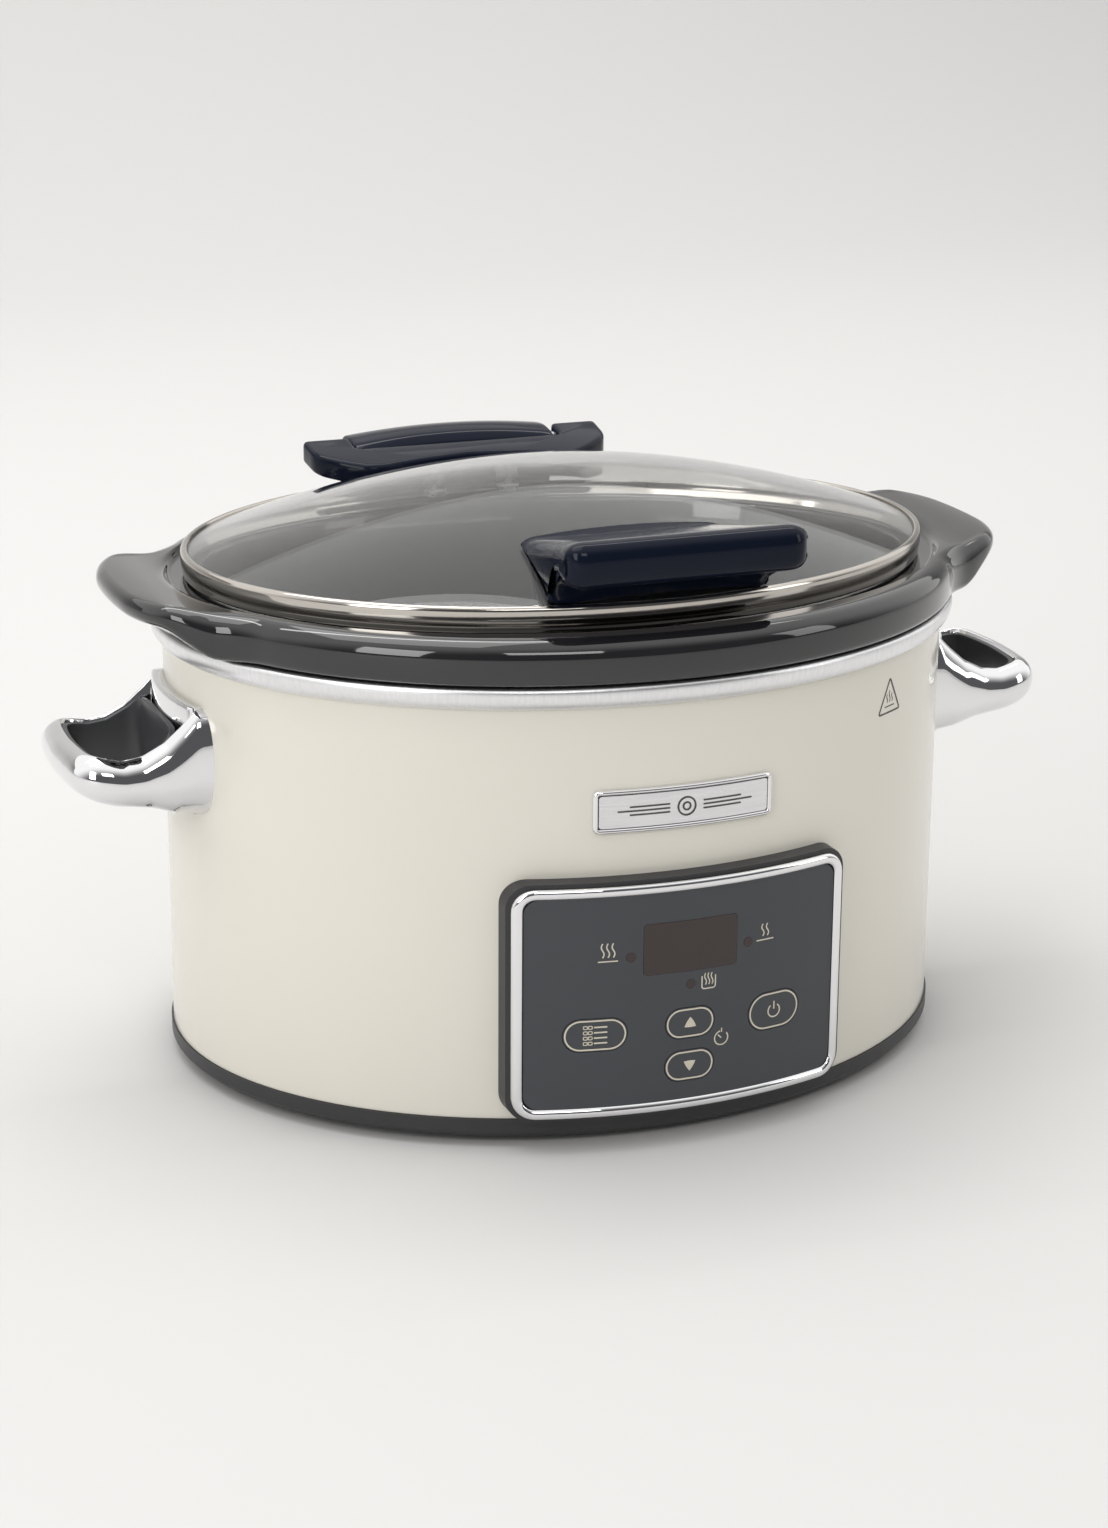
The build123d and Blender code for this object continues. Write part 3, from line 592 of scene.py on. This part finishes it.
def makeShell(s):
    # a sheet section of thickness t, carried round the oval x = a cos(u), y = b sin(u)
    a, b, low, high, t = bodySize["a"], bodySize["b"], bodySize["bottom"], bodySize["top"], s["sheet"]
    wall = [(a, b, low), (a, b, (low + high) / 2), (a, b, high),
            (a - t, b - t, high), (a - t, b - t, (low + high) / 2), (a - t, b - t, low)]
    loops = ovalLoops(roundCorners(wall, s["edge"], 4))
    return loftLoops("paintedShell", loops, closeRows=True)


finishPiece(makeShell(shellSettings), "creamPaint", "base", "cream_paint", "outer_shell")

wellSettings = {
    # offsets from the painted body and heights of the rolled rim, from its lower lip to its flat top
    "roll": [(0.3, 179.0), (2.4, 179.6), (4.3, 182.2), (5.0, 185.4), (4.7, 187.4), (3.2, 188.2)],
    "wallA": 156.5, "wallB": 125.0, "bottom": 39.0, "sheet": 1.0,
    # corner radii of the roll, the inside, the outside and the roll's underside
    "rollRadii": [0.2, 2.5, 2.5, 2.5, 2.5, 1.5],
    "insideRadii": [1.2, 6, 3, 4, 0.3],
    "outsideRadii": [0.3, 4, 3, 6, 1.0],
    "underRadii": [1.0, 2.5, 2.5, 2.5, 2.5, 0.2],
}


def makeWell(s):
    # rolled rim, inner wall, floor and outer wall as one closed section round the oval
    a, b = bodySize["a"], bodySize["b"]
    roll = [(a + g, b + g, z) for g, z in s["roll"]]
    top, low, t = s["roll"][-1][1], s["bottom"], s["sheet"]
    wa, wb = s["wallA"], s["wallB"]
    inner = [(wa, wb, top), (wa, wb, low + 11), (wa - 4, wb - 4, low + 3),
             (wa - 12, wb - 12, low), (2, 2, low)]
    outer = [(2, 2, low - t), (wa - 12, wb - 12, low - t), (wa - 3, wb - 3, low + 2),
             (wa + t, wb + t, low + 11), (wa + t, wb + t, top - t)]
    under = [(a + g - t, b + g - t, z - 0.6 * t) for g, z in s["roll"][::-1]]
    radii = s["rollRadii"] + s["insideRadii"] + s["outsideRadii"] + s["underRadii"]
    loops = ovalLoops(roundCorners(roll + inner + outer + under, radii, 5))
    return loftLoops("spunWell", loops, closeRows=True)


finishPiece(makeWell(wellSettings), "spunAluminium", "base", "spun_aluminium", "heating_well")

# crock: pot, flange and ears in one glazed surface

crockSettings = {
    # plan of one quarter of the flange's edge: the ear's points, then the oval (a, b) from y = 76 up
    "ear": [(190.5, 0.0), (190.2, 12.0), (189.0, 24.0), (185.2, 36.5), (178.8, 46.5), (169.5, 53.0),
            (159.5, 58.5), (150.5, 66.5)],
    "a": 169.5, "b": 143.0,
    "top": 206.5, "bottom": 188.6,
    "earRise": 2.6, "earLift": 11.2,
    "topRoll": 7.5, "bottomRoll": 3.2, "earRoll": 4.4,
    "lipA": 164.6, "lipB": 127.6, "ledge": 203.2, "mouthA": 149.0, "mouthB": 112.6,
    # ovals (a, b, height) of the inside below the mouth and of the outside below the flange, with radii
    "pocket": [(1.5, 1.5, 54.0), (104, 76, 54.0), (126, 95, 57.0), (136, 103, 82.0), (147, 110.6, 188.6)],
    "pocketRadii": [1, 8, 22, 18, 6, 1.6, 1.5, 2.4],
    "outside": [(154.5, 120, 188.6), (152.2, 117.6, 184), (142.5, 109.5, 78), (134, 102, 54),
                (118, 88, 46.0), (1.5, 1.5, 46.0)],
    "outsideRadii": [0.5, 3, 20, 12, 8, 1],
    "underA": 155.0, "underB": 120.5,
}


def flangeOutline(s, count):
    start = math.asin(76 / s["b"])
    t = np.linspace(start, math.pi / 2, 12)
    oval = np.stack([s["a"] * np.cos(t), s["b"] * np.sin(t)], axis=1)
    quarter = np.vstack([s["ear"], oval])
    left = quarter[::-1][1:] * (-1, 1)
    upper = np.vstack([quarter, left])
    lower = upper[::-1][1:-1] * (1, -1)
    return evenly(throughPoints(np.vstack([upper, lower]), 12), count)


def makeCrock(s):
    # Loops from the pot's inner floor up over the ledge and lip, round the flange and down outside.
    count = 384
    edge = flangeOutline(s, count)
    turn = np.unwrap(np.arctan2(edge[:, 1] / s["b"], edge[:, 0] / s["a"]))
    ear = smoothStep(np.abs(edge[:, 0]), 160, 182)
    pocket = s["pocket"] + [(s["mouthA"], s["mouthB"], s["ledge"]), (162.2, 125.2, s["ledge"]),
                            (s["lipA"], s["lipB"], s["top"])]
    pocket = roundCorners(pocket, s["pocketRadii"], 6, closed=False)
    loops = list(ovalLoops(pocket[:-6], turn))

    def topHeight(x):
        return s["top"] + s["earRise"] * smoothStep(np.abs(x), 160, 181)

    def bottomHeight(x):
        return s["bottom"] + s["earLift"] * smoothStep(np.abs(x), 161, 183)

    lip = np.stack([s["lipA"] * np.cos(turn), s["lipB"] * np.sin(turn)], axis=1)
    topRoll = s["topRoll"] + (s["earRoll"] - s["topRoll"]) * ear
    bottomRoll = s["bottomRoll"] + (s["earRoll"] - s["bottomRoll"]) * ear
    normal = outwardNormals(edge)
    inner = edge - normal * topRoll[:, None]
    loops.append(np.column_stack([lip - outwardNormals(lip) * 1.2, np.full(count, s["top"] - 1.6)]))
    loops.append(np.column_stack([lip - outwardNormals(lip) * 0.3, np.full(count, s["top"] - 0.4)]))
    for share in (0.06, 0.2, 0.4, 0.6, 0.8, 1.0):
        flat = lip + (inner - lip) * share
        loops.append(np.column_stack([flat, topHeight(flat[:, 0])]))
    for phi in np.linspace(0, math.pi / 2, 9)[1:]:
        rolled = inner + normal * (topRoll * math.sin(phi))[:, None]
        loops.append(np.column_stack([rolled, topHeight(edge[:, 0]) - topRoll * (1 - math.cos(phi))]))
    low = bottomHeight(edge[:, 0])
    for phi in np.linspace(0, math.pi / 2, 7):
        rolled = edge - normal * (bottomRoll * (1 - math.cos(phi)))[:, None]
        loops.append(np.column_stack([rolled, low + bottomRoll * (1 - math.sin(phi))]))
    under = edge - normal * bottomRoll[:, None]
    wall = np.stack([s["underA"] * np.cos(turn), s["underB"] * np.sin(turn)], axis=1)
    for share in (0.3, 0.6, 0.9):
        flat = under + (wall - under) * share
        loops.append(np.column_stack([flat, bottomHeight(flat[:, 0])]))
    loops += list(ovalLoops(roundCorners(s["outside"], s["outsideRadii"], 6, closed=False), turn))
    return loftLoops("glazedCrock", loops)


finishPiece(makeCrock(crockSettings), "blackGlaze", "crock", "black_glaze", "crock")
print("shell, well and crock made")


# lid: glass dome and polished band

lidSettings = {
    "a": 157.2, "b": 120.8, "bottom": 203.5, "edge": 212.6, "rise": 31.0, "power": 1.8, "thick": 4.0,
    # section of the band as (offset from its outside, height), bulging slightly between its edges
    "band": [(-2.4, 203.5), (-0.9, 204.4), (-0.3, 206.8), (0.0, 210.6), (0.0, 213.2), (-0.5, 214.3),
             (-1.5, 214.8), (-2.6, 214.6), (-3.0, 213.6), (-2.6, 212.6), (-1.9, 211.4), (-1.9, 208.0),
             (-4.8, 204.9), (-4.6, 203.9)],
}


def domeHeight(s, x, y):
    share = np.sqrt((x / s["a"]) ** 2 + (y / s["b"]) ** 2)
    return s["edge"] + s["rise"] * (1 - np.clip(share, 0, 1) ** s["power"])


def makeGlass(s):
    # Two domes, z = edge + rise (1 - share^power), joined by a rounded edge.
    reach = 1 - 3.0 / s["a"]
    share = reach * np.sin(np.linspace(0.006, math.pi / 2, 40))
    top = [(s["a"] * k, s["b"] * k, float(domeHeight(s, s["a"] * k, 0))) for k in share]
    low = [(a, b, z - s["thick"]) for a, b, z in top[::-1]]
    bulge = (top[-1][0] + 0.5, top[-1][1] + 0.5, top[-1][2] - s["thick"] / 2)
    return loftLoops("domedGlass", ovalLoops(top + [bulge] + low))


def makeBand(s):
    # the band's closed section carried round the lid's oval
    section = [(s["a"] + g, s["b"] + g, z) for g, z in s["band"]]
    return loftLoops("lidBand", ovalLoops(roundCorners(section, 1.2, 5)), closeRows=True)


finishPiece(makeGlass(lidSettings), "clearGlass", "lid", "clear_glass", "lid_glass")
finishPiece(makeBand(lidSettings), "stainlessRim", "lid", "stainless_rim", "lid_rim")


def restOnLid(points):
    # Lifts what would sink into the dome or its band onto their surface.
    s = lidSettings
    x, y, z = points[..., 0], points[..., 1], points[..., 2]
    share = np.sqrt((x / (s["a"] + 0.5)) ** 2 + (y / (s["b"] + 0.5)) ** 2)
    gap = (1 - share) * s["b"]
    bandTop = s["edge"] + np.interp(gap, [0.0, 1.2, 3.2, 9.0], [-0.4, 0.7, 1.8, 3.2])
    ground = np.where(gap > 9, domeHeight(s, x, y), np.maximum(domeHeight(s, x, y), bandTop)) + 0.1
    points[..., 2] = np.where(share < 1, np.maximum(z, ground), z)
    return points


# front grip

gripSettings = {
    # side outline (y, z) with a corner radius each; the lip leans out over the flange
    "outline": [(-69, 223, 1), (-69.5, 229.8, 1), (-104, 237.0, 20), (-141.2, 245.6, 10),
                (-141.2, 225.0, 10), (-123.5, 227.6, 5), (-117.0, 222.5, 6), (-113.6, 215.0, 4),
                (-113.2, 212.0, 1), (-95, 212, 1)],
    # half width at each depth
    "planY": [-141, -136, -128, -120, -110, -98, -84, -69],
    "planX": [49.0, 50.0, 49.6, 47.4, 44.8, 44.0, 43.8, 43.5],
    "endRound": (8.0, 6.0),     # how far back from the end it starts, and how far in it reaches
}


def makeGrip(s):
    # The side outline repeated across X; near each end it is inset along a quarter circle.
    corners = np.array(s["outline"])
    section = counterClockwise(evenly(roundCorners(corners[:, :2], corners[:, 2], 8), 150))
    back, reach = s["endRound"]
    half = np.interp(section[:, 0], s["planY"], s["planX"])
    ends = [(back * (1 - math.cos(phi)), reach * (1 - math.sin(phi)))
            for phi in np.linspace(0, math.pi / 2, 10)]
    rounded = [(half - shift, insetLoop(section, inset)) for shift, inset in ends]
    left = [np.column_stack([-x, loop]) for x, loop in rounded]
    right = [np.column_stack([x, loop]) for x, loop in rounded[::-1]]
    middle = [np.column_stack([half * k, section[:, 0], section[:, 1]]) for k in np.linspace(-0.8, 0.8, 13)]
    return loftLoops("frontGrip", restOnLid(np.array(left + middle + right)))


finishPiece(makeGrip(gripSettings), "navyPlastic", "lid", "navy_plastic", "front_handle")


# hinge: plate on the lid and crowned clip on the crock

plateSettings = {
    # plan outline of the right half with corner radii, from the middle of the front edge
    "outline": [(0, 104.5, 0), (24, 101.8, 20), (46, 96.5, 5), (57, 103.0, 8), (68.6, 113.5, 6),
                (69.5, 131.0, 3), (48.0, 131.0, 2), (48.0, 118.3, 2), (0, 118.3, 0)],
    "frontTop": 225.0, "slope": 0.185, "thick": 9.6, "edge": 2.0,
}


def makePlate(s):
    # plan outline, inset by quarter circles near both faces; height rises with y along a slope
    right = np.array(s["outline"], float)
    left = right[1:-1][::-1] * (-1, 1, 1)
    corners = np.vstack([right, left])
    loop = counterClockwise(evenly(roundCorners(corners[:, :2], corners[:, 2] + 0.01, 7), 260))
    r = s["edge"]
    turn = np.linspace(0, math.pi / 2, 5)
    levels = [(r * (1 - math.sin(t)), r * (1 - math.cos(t))) for t in turn]
    levels += [(r * (1 - math.sin(t)), s["thick"] - r * (1 - math.cos(t))) for t in turn[::-1]]

    def place(x, y, depth):
        return np.column_stack([x, y, s["frontTop"] + (y - 97) * s["slope"] - depth])

    loops = restOnLid(np.array(prismLoops(loop, levels, place)))
    return loftLoops("hingePlate", loops)


finishPiece(makePlate(plateSettings), "navyPlastic", "lid", "navy_plastic", "hinge_plate")

clipSettings = {
    "half": 47.3, "crown": 3.4, "endRound": 2.0,
    # side outline (y, z) with a corner radius each
    "outline": [(120.9, 224.0, 3), (123.6, 219.6, 3), (128.6, 219.0, 1), (128.6, 207.3, 0.6),
                (143.8, 207.3, 0.3), (143.8, 193, 0.3), (146.2, 193, 0.8), (146.4, 208, 3),
                (145.2, 216, 4), (143.6, 229.4, 2.5),
                (134, 230.2, 4), (125.5, 228.8, 3), (121.8, 226.6, 2)],
}


def makeClip(s):
    # Side outline across X; what lies above the barrel rises by crown (1 - (x / half)^2).
    corners = np.array(s["outline"])
    section = counterClockwise(evenly(roundCorners(corners[:, :2], corners[:, 2], 7), 150))
    r = s["endRound"]
    loops = []
    xs = [(-s["half"] + r * (1 - math.cos(p)), r * (1 - math.sin(p)))
          for p in np.linspace(0, math.pi / 2, 6)]
    xs += [(s["half"] * k, 0.0) for k in np.linspace(-0.9, 0.9, 17)]
    xs += [(-x, inset) for x, inset in xs[:6][::-1]]
    for x, inset in xs:
        loop = insetLoop(section, inset)
        lift = s["crown"] * (1 - (x / s["half"]) ** 2) * smoothStep(loop[:, 1], 224, 231)
        skirtShare = smoothStep(np.abs(x), 39.5, 40.5) * smoothStep(-loop[:, 1], -207.2, -206.8)
        height = loop[:, 1] + lift + (207.3 - loop[:, 1]) * skirtShare
        loops.append(np.column_stack([np.full(len(loop), x), loop[:, 0], height]))
    return loftLoops("hingeClip", loops)


clip = makeClip(clipSettings)
finishPiece(clip, "navyPlastic", "hinge_clip", "navy_plastic", "hinge_clip")
print("lid, grip and hinge made")


# side handles: chrome loops with dark linings

handleSettings = {
    # side view: heights of the loop's upper and lower edge at distances x from the middle
    "topX": [150, 164, 170, 177, 186, 194, 205, 217],
    "topZ": [163.5, 162.0, 156.0, 150.0, 145.5, 144.5, 146.5, 147.5],
    "lowX": [150, 163, 173, 183, 198, 205, 212, 217],
    "lowZ": [118.8, 119.3, 120.7, 124.0, 126.3, 128.0, 130.3, 131.0],
    # plan of the loop's middle line, front half, from inside the body to the outer end
    "plan": [(150.0, 33.6), (168.0, 33.6), (186.0, 33.6), (198.0, 33.4), (205.0, 31.2), (209.2, 26.0),
             (210.8, 18.0), (211.6, 8.0), (211.9, 0.0)],
    "wall": 8.0, "belly": 0.97,
    "rootTop": 163.2, "rootLow": 118.8,
    # the lining is a closed loop inside the hole
    "lining": [(171.2, 0.0), (171.2, 18.0), (172.2, 24.5), (175.5, 27.6), (182.0, 28.4), (195.0, 28.3),
               (201.0, 26.8), (204.3, 23.2), (205.7, 17.2), (206.5, 8.0)],
    "liningEnd": (206.8, 0.0),
    "liningWall": 2.2, "liningDrop": 1.2,
}


def bellySection(wall, low, top, s):
    # flat towards the finger hole; outwards the half oval wall cos(u)^belly, height sin(u)^belly
    u = np.linspace(math.radians(-84), math.radians(84), 19)
    out = wall / 2 - wall * np.cos(u) ** s["belly"]
    middle, half = (low + top) / 2, (top - low) / 2
    height = middle + half * np.sign(u) * np.abs(np.sin(u)) ** s["belly"]
    flat = [(wall / 2 - 0.5, top - 0.05), (wall / 2, top - 0.6), (wall / 2, middle + half * 0.4),
            (wall / 2, middle - half * 0.4), (wall / 2, low + 0.6), (wall / 2 - 0.5, low + 0.05)]
    return np.vstack([np.column_stack([out, height]), flat])


def boxSection(wall, low, top, s):
    box = [(-wall / 2, low), (wall / 2, low), (wall / 2, top), (-wall / 2, top)]
    middle = [((a[0] + b[0]) / 2, (a[1] + b[1]) / 2) for a, b in zip(box, box[1:] + box[:1])]
    ring = np.array([p for pair in zip(box, middle) for p in pair])
    return roundCorners(ring, [0.9, 0.01] * 4, 7)


def sweepUpright(plan, closed, wall, drop, section, s):
    # A section carried upright along a plan line; its top and foot follow the side view.
    if closed:
        direction = np.roll(plan, -1, 0) - np.roll(plan, 1, 0)
    else:
        direction = np.gradient(plan, axis=0)
    direction /= np.linalg.norm(direction, axis=1, keepdims=True)
    normal = np.stack([direction[:, 1], -direction[:, 0]], axis=1)
    loops = []
    for (x, y), (nx, ny) in zip(plan, normal):
        top = np.interp(x, s["topX"], s["topZ"]) - drop
        low = np.interp(x, s["lowX"], s["lowZ"]) + drop
        ring = section(wall, low, top, s)
        loops.append(np.column_stack([x + nx * ring[:, 0], y + ny * ring[:, 0], ring[:, 1]]))
    return loops


def smoothPlan(points, closed, count):
    p = np.asarray(points, float)
    if closed:
        return evenly(throughPoints(p, 12), count)
    ends = np.vstack([2 * p[:1] - p[1:2], p, 2 * p[-1:] - p[-2:-1]])
    line = throughPoints(ends, 12)[12:-23]
    along = np.concatenate([[0], np.cumsum(np.linalg.norm(np.diff(line, axis=0), axis=1))])
    at = np.linspace(0, along[-1], count)
    return np.stack([np.interp(at, along, line[:, 0]), np.interp(at, along, line[:, 1])], axis=1)


def bothSides(loops, side):
    flipped = np.array(loops)
    flipped[..., 0] *= side
    return flipped


def makeHandle(s, side, name):
    # the bellied section carried along the plan line, from one arm's root to the other's
    front = s["plan"]
    back = [(x, -y) for x, y in front[::-1][1:]]
    plan = smoothPlan(front + back, False, 140)
    return loftLoops(name, bothSides(sweepUpright(plan, False, s["wall"], 0.0, bellySection, s), side))


def makeRoot(s, side, name):
    # Plate between the two arms that follows the body's curve, rounded at its upper and lower edge.
    y = np.linspace(-29.5, 29.5, 31)
    a, b = bodySize["a"], bodySize["b"]
    loops = []
    for out, drop in ((0.1, 0.0), (3.6, 0.0), (4.6, 0.4), (5.0, 1.4)):
        x = (a + out) * np.sqrt(1 - (y / (b + out)) ** 2)
        loops.append((x, s["rootTop"] - drop))
    lower = [(x, s["rootTop"] + s["rootLow"] - z) for x, z in loops[::-1]]
    section = [np.column_stack([x, y, np.full(len(y), z)]) for x, z in loops + lower]
    grid = np.array(section).transpose(1, 0, 2)
    return loftLoops(name, bothSides(grid, side))


def makeLining(s, side, name):
    # a thin upright box section carried round a closed plan line inside the finger hole
    front = s["lining"]
    back = [(x, -y) for x, y in front[::-1][:-1]]
    plan = smoothPlan(front + [s["liningEnd"]] + back, True, 160)
    loops = sweepUpright(plan, True, s["liningWall"], s["liningDrop"], boxSection, s)
    return loftLoops(name, bothSides(loops, side), closeRows=True)


for side, label in ((-1, "left"), (1, "right")):
    loop = makeHandle(handleSettings, side, f"chromeHandle_{label}")
    finishPiece(loop, "brightChrome", "base", "bright_chrome", f"handle_{label}")
    root = makeRoot(handleSettings, side, f"handleRoot_{label}")
    finishPiece(root, "brightChrome", "base", "bright_chrome", f"handle_{label}")
    lining = makeLining(handleSettings, side, f"handleLining_{label}")
    finishPiece(lining, "darkLining", "base", "dark_lining", f"handle_insert_{label}")
print("side handles made")


# control panel

panelSettings = {
    "width": 140.0, "height": 95.0, "z": 62.5, "corner": 9.0,
    # section of the chrome frame: inset from its outside, and distance out of the body
    "frame": [(0.15, 7.05), (0.0, 8.3), (0.35, 9.2), (1.2, 9.75), (2.4, 9.8),
              (3.3, 9.55), (4.0, 9.0), (4.3, 8.5), (4.3, 7.1)],
    "keyOut": 8.77, "faceOut": 8.62, "inkThick": 0.05, "line": 0.62,
}


def makeFrame(s):
    # the frame's section carried round a rounded rectangle that is bent onto the body's front
    outline = roundedRectangle(s["width"], s["height"], s["corner"], 2.0)
    section = roundCorners(s["frame"], 0.7, 4)
    loops = [onFront(loop[:, 0], loop[:, 1] + s["z"], out)
             for loop, out in ((insetLoop(outline, inset), out) for inset, out in section)]
    return loftLoops("chromeFrame", loops, closeRows=True)


finishPiece(makeFrame(panelSettings), "brightChrome", "base", "bright_chrome", "panel_bezel")


def arc(cx, cz, radius, start, end, steps=24):
    t = np.radians(np.linspace(start, end, steps))
    return np.stack([cx + radius * np.cos(t), cz + radius * np.sin(t)], axis=1)


def line(*points):
    return np.array(points, float)


def wave(x, low, high, swing):
    # A heat wave: x + swing sin(u) as z climbs once.
    t = np.linspace(0, 1, 22)
    return np.stack([x + swing * np.sin(t * fullTurn), low + (high - low) * t], axis=1)


def divided(points, closed, spacing=1.5):
    # more points on long runs, so that a stroke follows the body's curve
    p = np.vstack([points, points[:1]]) if closed else points
    runs = np.linalg.norm(np.diff(p, axis=0), axis=1)
    pieces = [a + (b - a) * np.arange(n)[:, None] / n
              for a, b, n in zip(p[:-1], p[1:], np.maximum(1, np.ceil(runs / spacing)).astype(int))]
    return np.vstack(pieces if closed else pieces + [p[-1:]])


def inkStroke(points, width, closed):
    # Left and right edges of a printed line, from the directions of its neighbours.
    if closed:
        along = np.roll(points, -1, 0) - np.roll(points, 1, 0)
    else:
        along = np.gradient(points, axis=0)
    along /= np.maximum(np.linalg.norm(along, axis=1, keepdims=True), 1e-9)
    across = np.stack([-along[:, 1], along[:, 0]], axis=1) * width / 2
    return points + across, points - across


def makeInk(name, strokes, out, thick, body, slotName, finish="creamPrint"):
    # Thin raised prints: each stroke is a flat closed strip that lies on the curved front.
    verts, faces = [], []
    for points, width, closed in strokes:
        left, right = inkStroke(divided(np.asarray(points, float), closed), width, closed)
        rings = [onFront(edge[:, 0], edge[:, 1], depth)
                 for depth in (out, out + thick) for edge in (left, right)]
        lowLeft, lowRight, topLeft, topRight = rings
        grid = np.stack([topLeft, topRight, lowRight, lowLeft], axis=1)
        start = len(verts)
        verts += grid.reshape(-1, 3).tolist()
        strip = gridFaces(len(grid), 4, closeRows=closed, closeColumns=True)
        faces += [[start + k for k in face] for face in strip]
        if not closed:
            last = start + len(grid) * 4 - 4
            faces += [[start + k for k in (3, 2, 1, 0)], [last + k for k in (0, 1, 2, 3)]]
    obj = meshObject(name, np.array(verts) * mm, faces, smooth=False)
    facesOutward(obj)
    obj.data.polygons.foreach_set("use_smooth", [False] * len(obj.data.polygons))
    return finishPiece(obj, finish, body, slotName)


def pillOutline(x, z, width, height, inset):
    outline = roundedRectangle(width - 2 * inset, height - 2 * inset, height / 2 - inset - 0.01, 0.7)
    return outline + (x, z)


def solidTriangle(x, z, size, up):
    # Filled by three nested strokes.
    corners = np.array([(-0.9, -0.62 * up), (0.9, -0.62 * up), (0, 0.85 * up)]) * size
    return [(corners * k + (x, z), 0.30 * size, True) for k in (0.80, 0.45, 0.14)]


keySettings = {
    "menu": (-38.4, 49.6, 25.0, 13.4), "up": (0.0, 50.9, 20.6, 12.6),
    "down": (0.0, 33.1, 20.8, 12.6), "power": (37.4, 49.8, 23.6, 15.6),
}


def keySymbol(kind, x, z):
    w = 0.55
    if kind == "menu":
        rows = [z + k for k in (3.3, 1.1, -1.1, -3.3)]
        lines = [(line((x - 0.6, r), (x + 4.6, r)), 0.6, False) for r in rows]
        box = roundedRectangle(1.5, 1.2, 0.2, 0.3)
        boxes = [(box + (x - 3.9 + dx, r), 0.35, True) for r in rows for dx in (0, 1.9)]
        return lines + boxes
    if kind == "up":
        return solidTriangle(x, z, 2.9, 1)
    if kind == "down":
        return solidTriangle(x, z, 2.9, -1)
    return [(arc(x, z - 0.2, 2.7, 125, 415, 40), w, False), (line((x, z + 0.4), (x, z + 3.7)), w, False)]


def printKeys(s):
    for kind, (x, z, width, height) in keySettings.items():
        strokes = [(pillOutline(x, z, width, height, 0.75), s["line"], True)] + keySymbol(kind, x, z)
        makeInk(f"keyPrint_{kind}", strokes, s["keyOut"], s["inkThick"], f"{kind}_key", "graphite_face")


printKeys(panelSettings)


def heatSign(x, z, count, height):
    base = [(line((x - 3.9, z - height / 2), (x + 3.9, z - height / 2)), 0.5, False)]
    spread = (np.arange(count) - (count - 1) / 2) * 2.1
    return base + [(wave(x + d, z - height / 2 + 1.6, z + height / 2, 0.55), 0.5, False) for d in spread]


def potSign(x, z):
    pot = roundCorners([(x - 2.9, z + 2.3), (x - 2.9, z - 3.0), (x + 2.9, z - 3.0), (x + 2.9, z + 2.3)],
                       [0.01, 1.2, 1.2, 0.01], 6, closed=False)
    waves = [(wave(x + d, z - 1.4, z + 3.4, 0.4), 0.45, False) for d in (-1.4, 0, 1.4)]
    return [(pot, 0.5, False)] + waves


def timerSign(x, z):
    ring = (arc(x, z, 2.9, 100, 400, 36), 0.5, False)
    hands = (line((x - 1.5, z + 1.5), (x, z)), 0.5, False)
    tick = (line((x + 0.1, z + 4.1), (x + 0.1, z + 2.4)), 0.5, False)
    return [ring, hands, tick]


faceStrokes = heatSign(-33.8, 83.4, 3, 7.4) + heatSign(32.4, 83.6, 2, 6.6)
faceStrokes += potSign(7.6, 67.2) + timerSign(13.6, 42.4)
faceOut, inkThick = panelSettings["faceOut"], panelSettings["inkThick"]
makeInk("facePrint", faceStrokes, faceOut, inkThick, "base", "graphite_face")
print("control panel finished")


# badge, with a plain ornament, and a plain triangle mark

badgeSettings = {
    "z": 137.6, "width": 75.0, "height": 17.6, "corner": 2.4,
    # section of the rim: inset from its outside, and distance out of the body
    "frame": [(0.1, 0.05), (0.0, 1.2), (0.45, 1.95), (1.1, 2.2), (1.7, 1.95), (2.1, 1.35), (2.1, 0.3)],
}


def makeBadge(s):
    # a rim carried round a rounded rectangle, and strokes of rings and lines on the plate
    outline = roundedRectangle(s["width"], s["height"], s["corner"], 1.2)
    section = roundCorners(s["frame"], 0.4, 4)
    insets = [(insetLoop(outline, inset), out) for inset, out in section]
    rim = loftLoops("badgeRim", [onFront(loop[:, 0], loop[:, 1] + s["z"], out) for loop, out in insets],
                    closeRows=True)
    finishPiece(rim, "brightChrome", "base", "bright_chrome", "badge_frame")
    strokes = [(arc(0, s["z"], 3.6, 0, 352, 40), 0.7, True), (arc(0, s["z"], 1.5, 0, 346, 24), 0.7, True)]
    for side in (-1, 1):
        strokes += [(line((side * 7.0, s["z"] + k), (side * (28 - abs(k) * 3), s["z"] + k)), 0.6, False)
                    for k in (-1.6, 0, 1.6)]
    makeInk("badgeOrnament", strokes, 1.62, 0.18, "base", "component_black", "markPrint")


makeBadge(badgeSettings)
mark = np.array([(101.2, 170.4), (94.4, 156.2), (108.0, 156.2)])
markStrokes = [(roundCorners(mark, 1.0, 4), 0.75, True), (line((98.2, 158.8), (104.2, 158.8)), 0.5, False)]
markStrokes += [(wave(101.2 + d, 160.4, 165.2 - abs(d) * 0.8, 0.3), 0.4, False) for d in (-1.6, 0, 1.6)]
makeInk("surfaceMark", markStrokes, 0.02, 0.06, "base", "component_black", "markPrint")
print("badge and mark made")
